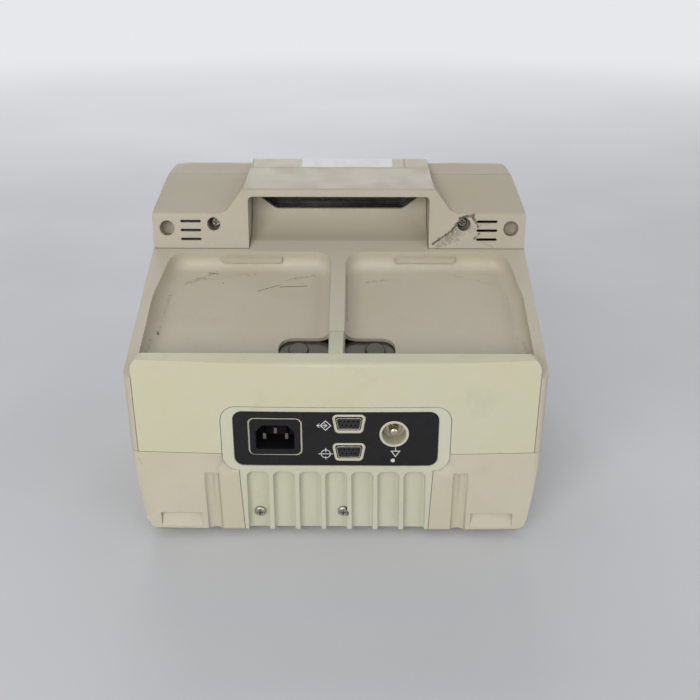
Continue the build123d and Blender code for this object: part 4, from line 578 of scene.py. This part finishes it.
def add_line(flat, points, width, closed=False):
    """Adds a ribbon of even width along some points."""
    points = [Vector((x * MM, y * MM)) for x, y in points]
    count = len(points)
    pairs = []
    for index, point in enumerate(points):
        before = points[(index - 1) % count] if closed or index else point
        after = points[(index + 1) % count] if closed or index < count - 1 else point
        first = (point - before).normalized() if point != before else (after - point).normalized()
        second = (after - point).normalized() if after != point else first
        side_a, side_b = Vector((-first.y, first.x)), Vector((-second.y, second.x))
        middle = (side_a + side_b).normalized()
        reach = width * MM / 2 / max(0.4, middle.dot(side_a))
        pairs.append([flat.verts.new((*(point + middle * reach * turn), 0)) for turn in (1, -1)])
    for index in range(count if closed else count - 1):
        here, there = pairs[index], pairs[(index + 1) % count]
        flat.faces.new((here[0], here[1], there[1], there[0]))


def circle(radius, x=0.0, y=0.0, steps=32):
    return [(x + radius * math.cos(2 * math.pi * k / steps), y + radius * math.sin(2 * math.pi * k / steps))
            for k in range(steps)]


def add_number(flat, words, height, x, y):
    """Adds a number of the given digit height, centred on a point."""
    text = bpy.data.curves.new("words", "FONT")
    text.body = words
    text.size = height * FONT_TO_DIGIT * MM
    text.align_x, text.align_y = "CENTER", "CENTER"
    text.resolution_u = 3
    holder = bpy.data.objects.new("words", text)
    mesh = bpy.data.meshes.new_from_object(holder)
    mesh.transform(Matrix.Translation((x * MM, y * MM, 0)))
    flat.from_mesh(mesh)
    bpy.data.objects.remove(holder)
    bpy.data.curves.remove(text)


def ink(name, colour):
    g = Graph(name)
    worn = g.ramp(g.noise(420, 4.0, 0.7), 0.5, 0.8, 0.0, 0.45)
    tint = g.mix(worn, colour, tuple(0.55 * c for c in colour))
    rough = g.ramp(g.noise(900, 2.0), 0.3, 0.7, 0.45, 0.6)
    return g.finish(tint, rough, g.bump(g.noise(2400, 2.0), 0.00001, 0.5))


def sticker_paper(name):
    g = Graph(name)
    fibre = g.noise(1500, 4.0, 0.8)
    rubbed = g.ramp(g.noise(75, 4.0, 0.7), 0.42, 0.72, 0.0, 0.5)
    tint = g.mix(rubbed, (0.74, 0.74, 0.76), (0.60, 0.59, 0.58))
    return g.finish(tint, g.ramp(fibre, 0.3, 0.7, 0.5, 0.66), g.bump(fibre, 0.00002, 0.6))


def make_port_marks():
    """Plain marks beside the ports and under the pin on the rear label: a diamond, a ring and a triangle."""
    rear = Face((0, 140, 0), (-1, 0, 0), (0, 0, 1), "connector_label")
    white = ink("label_ink", (0.62, 0.62, 0.60))
    bold, thin = 0.55, 0.5
    flat = bmesh.new()
    x, z, size = -6.4, 86.0, 3.3
    add_line(flat, [(x, z - size), (x + size, z), (x, z + size), (x - size, z)], bold, True)
    add_line(flat, [(x - 5.2, z), (x + 1.0, z)], thin)
    for back, tip, rise in ((-0.9, 1.0, 1.5), (-3.9, -5.4, -1.3)):
        add_line(flat, [(x + back, z - rise), (x + tip, z), (x + back, z + rise)], 0.45)
    z = 65.6
    add_line(flat, circle(2.9, x, z, 24), thin, True)
    add_line(flat, [(x, z - 4.1), (x, z + 4.1)], thin)
    add_line(flat, [(x - 4.6, z), (x + 4.6, z)], thin)
    x, z = 37.6, 66.0
    add_line(flat, [(x - 2.6, z + 1.6), (x + 2.6, z + 1.6), (x, z - 2.4)], bold, True)
    add_line(flat, [(x, z + 1.6), (x, z + 4.2)], thin)
    rear.lay("port_marks", flat, 0.05, white, "base", "label")
    dot = bmesh.new()
    bmesh.ops.create_circle(dot, cap_ends=True, segments=20, radius=1.35 * MM,
                            matrix=Matrix.Translation((36.0 * MM, 60.9 * MM, 0)))
    rear.lay("label_dot", dot, 0.35, white, "base", "label")


def front_face(height, *names):
    """Drawing plane over the sloping front, its origin on the dial's axis, a height above the dial's seat."""
    joint = next(item for item in frame["joints"] if item["name"] == "dial_turn")
    into = Vector(joint["axis"]).normalized()
    up = Vector((1, 0, 0)).cross(into)
    up = -up if up.z < 0 else up
    place = Vector(joint["pos_m"]) / MM - into * height
    return Face(place, (1, 0, 0), up, *names)


def make_dial_marks():
    """Plain numbers round the dial, ticks, and the pointer's white line."""
    white = ink("dial_ink", (0.66, 0.66, 0.64))
    number_ring, tick_inner, tick_outer, step = 27.2, 22.8, 24.2, math.radians(30)
    flat = bmesh.new()
    for index, number in enumerate((0, 2, 5, 10, 20, 30, 50, 100, 200, 300, 360)):
        x, y = math.sin(index * step), math.cos(index * step)
        add_number(flat, str(number), 3.3, number_ring * x, number_ring * y)
        add_line(flat, [(tick_inner * x, tick_inner * y), (tick_outer * x, tick_outer * y)], 0.5)
    front_face(FRONT_HEIGHT, "dial_scale").lay("dial_numbers", flat, INK, white, "base", "scale_plate", INK_LIFT)
    line = bmesh.new()
    add_line(line, [(0, 10.2), (0, 16.6)], 1.1)
    front_face(DIAL_HEIGHT, "energy_dial").lay("pointer_line", line, 0.05, white, "dial", "black_plastic", INK_LIFT)


def make_order_marks(white):
    """Numbers 1 to 3 for the order of use: dial, charge, shock. Rows are measured from the dial's axis."""
    dark = ink("key_ink_dark", (0.03, 0.03, 0.03))
    charge_row, shock_row = -40.5, -58.7
    one, two, three = bmesh.new(), bmesh.new(), bmesh.new()
    add_number(one, "1", 6.5, -34, 23)
    front_face(FRONT_HEIGHT, "front_housing").lay("order_mark_1", one, INK, dark, "base", "housing", INK_LIFT)
    add_number(two, "2", 6.0, -14, charge_row)
    for bar in range(3):
        x = 6 + 3 * bar
        add_line(two, [(x, charge_row - 3), (x, charge_row - 1 + 2 * bar)], 1.3)
    front_face(FRONT_HEIGHT, "charge_key").lay("order_mark_2", two, INK, dark, "charge_key", "yellow_key", INK_LIFT)
    add_number(three, "3", 6.0, -14, shock_row)
    add_line(three, circle(2.9, 9, shock_row, 28), 1.0, True)
    front_face(FRONT_HEIGHT, "shock_key").lay("order_mark_3", three, INK, white, "shock_key", "red_key", INK_LIFT)


def make_key_marks(white):
    """A plain shape on each of the seven small keys."""
    row = -61.0
    shapes = {"lead_key": [[(-3, 0), (3, 0)]],
              "size_key": [[(-2, -1.5), (-2, 1.5)], [(1.5, -2.3), (1.5, 2.3)]],
              "alarm_key": [circle(2.0, 0, 0, 20), [(-2.6, -2.6), (2.6, 2.6)]],
              "menu_key": [[(-3, 1.6), (3, 1.6)], [(-3, 0), (3, 0)], [(-3, -1.6), (3, -1.6)]],
              "event_key": [[(-2.3, -1.6), (2.3, -1.6), (0, 2.2)]],
              "print_key": [[(-2.6, -1.6), (2.6, -1.6), (2.6, 1.6), (-2.6, 1.6)]],
              "sync_key": [[(0, -2.3), (2.3, 0), (0, 2.3), (-2.3, 0)]]}
    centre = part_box("dial_scale")
    middle = (centre[0][0] + centre[1][0]) / 2 / MM
    for key, lines in shapes.items():
        low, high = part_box(key)
        offset = (low[0] + high[0]) / 2 / MM - middle
        flat = bmesh.new()
        for points in lines:
            add_line(flat, [(x + offset, y + row) for x, y in points], 0.55, len(points) > 2)
        front_face(FRONT_HEIGHT, key).lay(key + "_mark", flat, INK, white, key, "grey_key", INK_LIFT)


def make_screen():
    """The display's picture area seen through the window."""
    g = Graph("screen_glass")
    streak = g.ramp(g.noise(34, 4.0, 0.7, distort=1.0), 0.4, 0.75)
    tint = g.mix(streak, (0.030, 0.037, 0.034), (0.045, 0.052, 0.048))
    glass = g.finish(tint, g.ramp(streak, 0.0, 1.0, 0.10, 0.26), g.bump(g.noise(3000, 1.0), 0.000004, 0.4))
    width, height, left_of_dial = 106, 78, 120
    flat = sheet(width, height, 2, 2)
    bmesh.ops.translate(flat, verts=flat.verts, vec=(-left_of_dial * MM, 0, 0))
    front_face(FRONT_HEIGHT, "display_window").lay("screen_area", flat, INK, glass, "base", "clear_window", 0.01)


def make_sticker():
    """Blank paper label left on the top of the housing."""
    crown = Face((-5.5, -42.5, 214), (1, 0, 0), (0, 1, 0), "front_housing", "handle_housing")
    flat = sheet(66, 21, 44, 16, 0.6)
    crown.lay("top_sticker", flat, 0.05, sticker_paper("sticker_paper"), "base", "label", 0.015)


def make_wedge(profile, start, end):
    """Closed prism along X from a profile of (y, z) points, all in millimetres."""
    solid = bmesh.new()
    rows = [[solid.verts.new((x * MM, y * MM, z * MM)) for y, z in profile] for x in (start, end)]
    solid.faces.new(rows[0])
    solid.faces.new(reversed(rows[1]))
    for k in range(len(profile)):
        solid.faces.new((rows[0][k - 1], rows[1][k - 1], rows[1][k], rows[0][k]))
    bmesh.ops.recalc_face_normals(solid, faces=solid.faces)
    mesh = bpy.data.meshes.new("wedge")
    solid.to_mesh(mesh)
    solid.free()
    piece = bpy.data.objects.new("wedge", mesh)
    bpy.context.collection.objects.link(piece)
    return piece


def make_grip():
    """A copy of the lower housing with the second grip pocket, which its solid lacks, as large as the first."""
    rear, edge = cad_box[1][1] / MM, cad_box[1][0] / MM
    floor, top, past_face = 7.2, 18.9, 0.15
    floor_depth, top_depth = 3.55, 6.47
    near_edge, far_edge = 15.8, 43.0
    outside = rear + past_face
    profile = ((rear - floor_depth, floor), (outside, floor), (outside, top), (rear - top_depth, top))
    cutter = make_wedge(profile, near_edge - edge, far_edge - edge)
    whole = nodes["lower_housing"]
    rough = bpy.data.objects.new("lower_housing_rough", whole.data.copy())
    bpy.context.collection.objects.link(rough)
    cut = rough.modifiers.new("pocket", "BOOLEAN")
    cut.operation, cut.solver, cut.object = "DIFFERENCE", "EXACT", cutter
    bpy.context.view_layer.update()
    mesh = bpy.data.meshes.new_from_object(rough.evaluated_get(bpy.context.evaluated_depsgraph_get()))
    piece = bpy.data.objects.new("lower_housing_pocketed", mesh)
    bpy.context.collection.objects.link(piece)
    bpy.data.objects.remove(rough)
    bpy.data.objects.remove(cutter)
    for index in range(len(mesh.materials)):
        mesh.materials[index] = whole.material_slots[0].material
    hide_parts("lower_housing")
    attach(piece, "base")


# ---- floor --------------------------------------------------------------------------------
def make_floor():
    """Pale matt floor that turns into the background colour far from the unit, for the rays that see it."""
    fade_start, fade_end = 0.7, 2.6
    bpy.ops.mesh.primitive_plane_add(size=12.0, location=(0, 0, 0))
    floor = bpy.context.object
    floor.name = "studio_floor"
    g = Graph("floor_paint")
    tint = g.mix(g.ramp(g.noise(2.2, 3.0), 0.3, 0.7), (0.66, 0.67, 0.69), (0.72, 0.73, 0.75))
    g.finish(tint, g.ramp(g.noise(6, 2.0), 0.3, 0.7, 0.7, 0.8), Specular_IOR_Level=0.15)
    far = g.math("MULTIPLY", g.ramp(g.length(g.coords), fade_start, fade_end), seen_directly(g.tree))
    glow = g.tree.nodes.new("ShaderNodeEmission")
    glow.inputs["Color"].default_value = BACKGROUND
    mix = g.tree.nodes.new("ShaderNodeMixShader")
    g.link(far, mix.inputs[0])
    g.link(g.shader.outputs[0], mix.inputs[1])
    g.link(glow.outputs[0], mix.inputs[2])
    g.link(mix.outputs[0], g.out.inputs["Surface"])
    floor.data.materials.append(g.material)


make_camera()
make_lights()
make_world()
paint_housings()
paint_plastics()
paint_metals()
paint_the_rest()
make_grip()
make_port_marks()
make_dial_marks()
key_ink = ink("key_ink_white", (0.66, 0.66, 0.64))
make_order_marks(key_ink)
make_key_marks(key_ink)
make_screen()
make_sticker()
make_floor()
bpy.context.scene.view_settings.view_transform = "Standard"
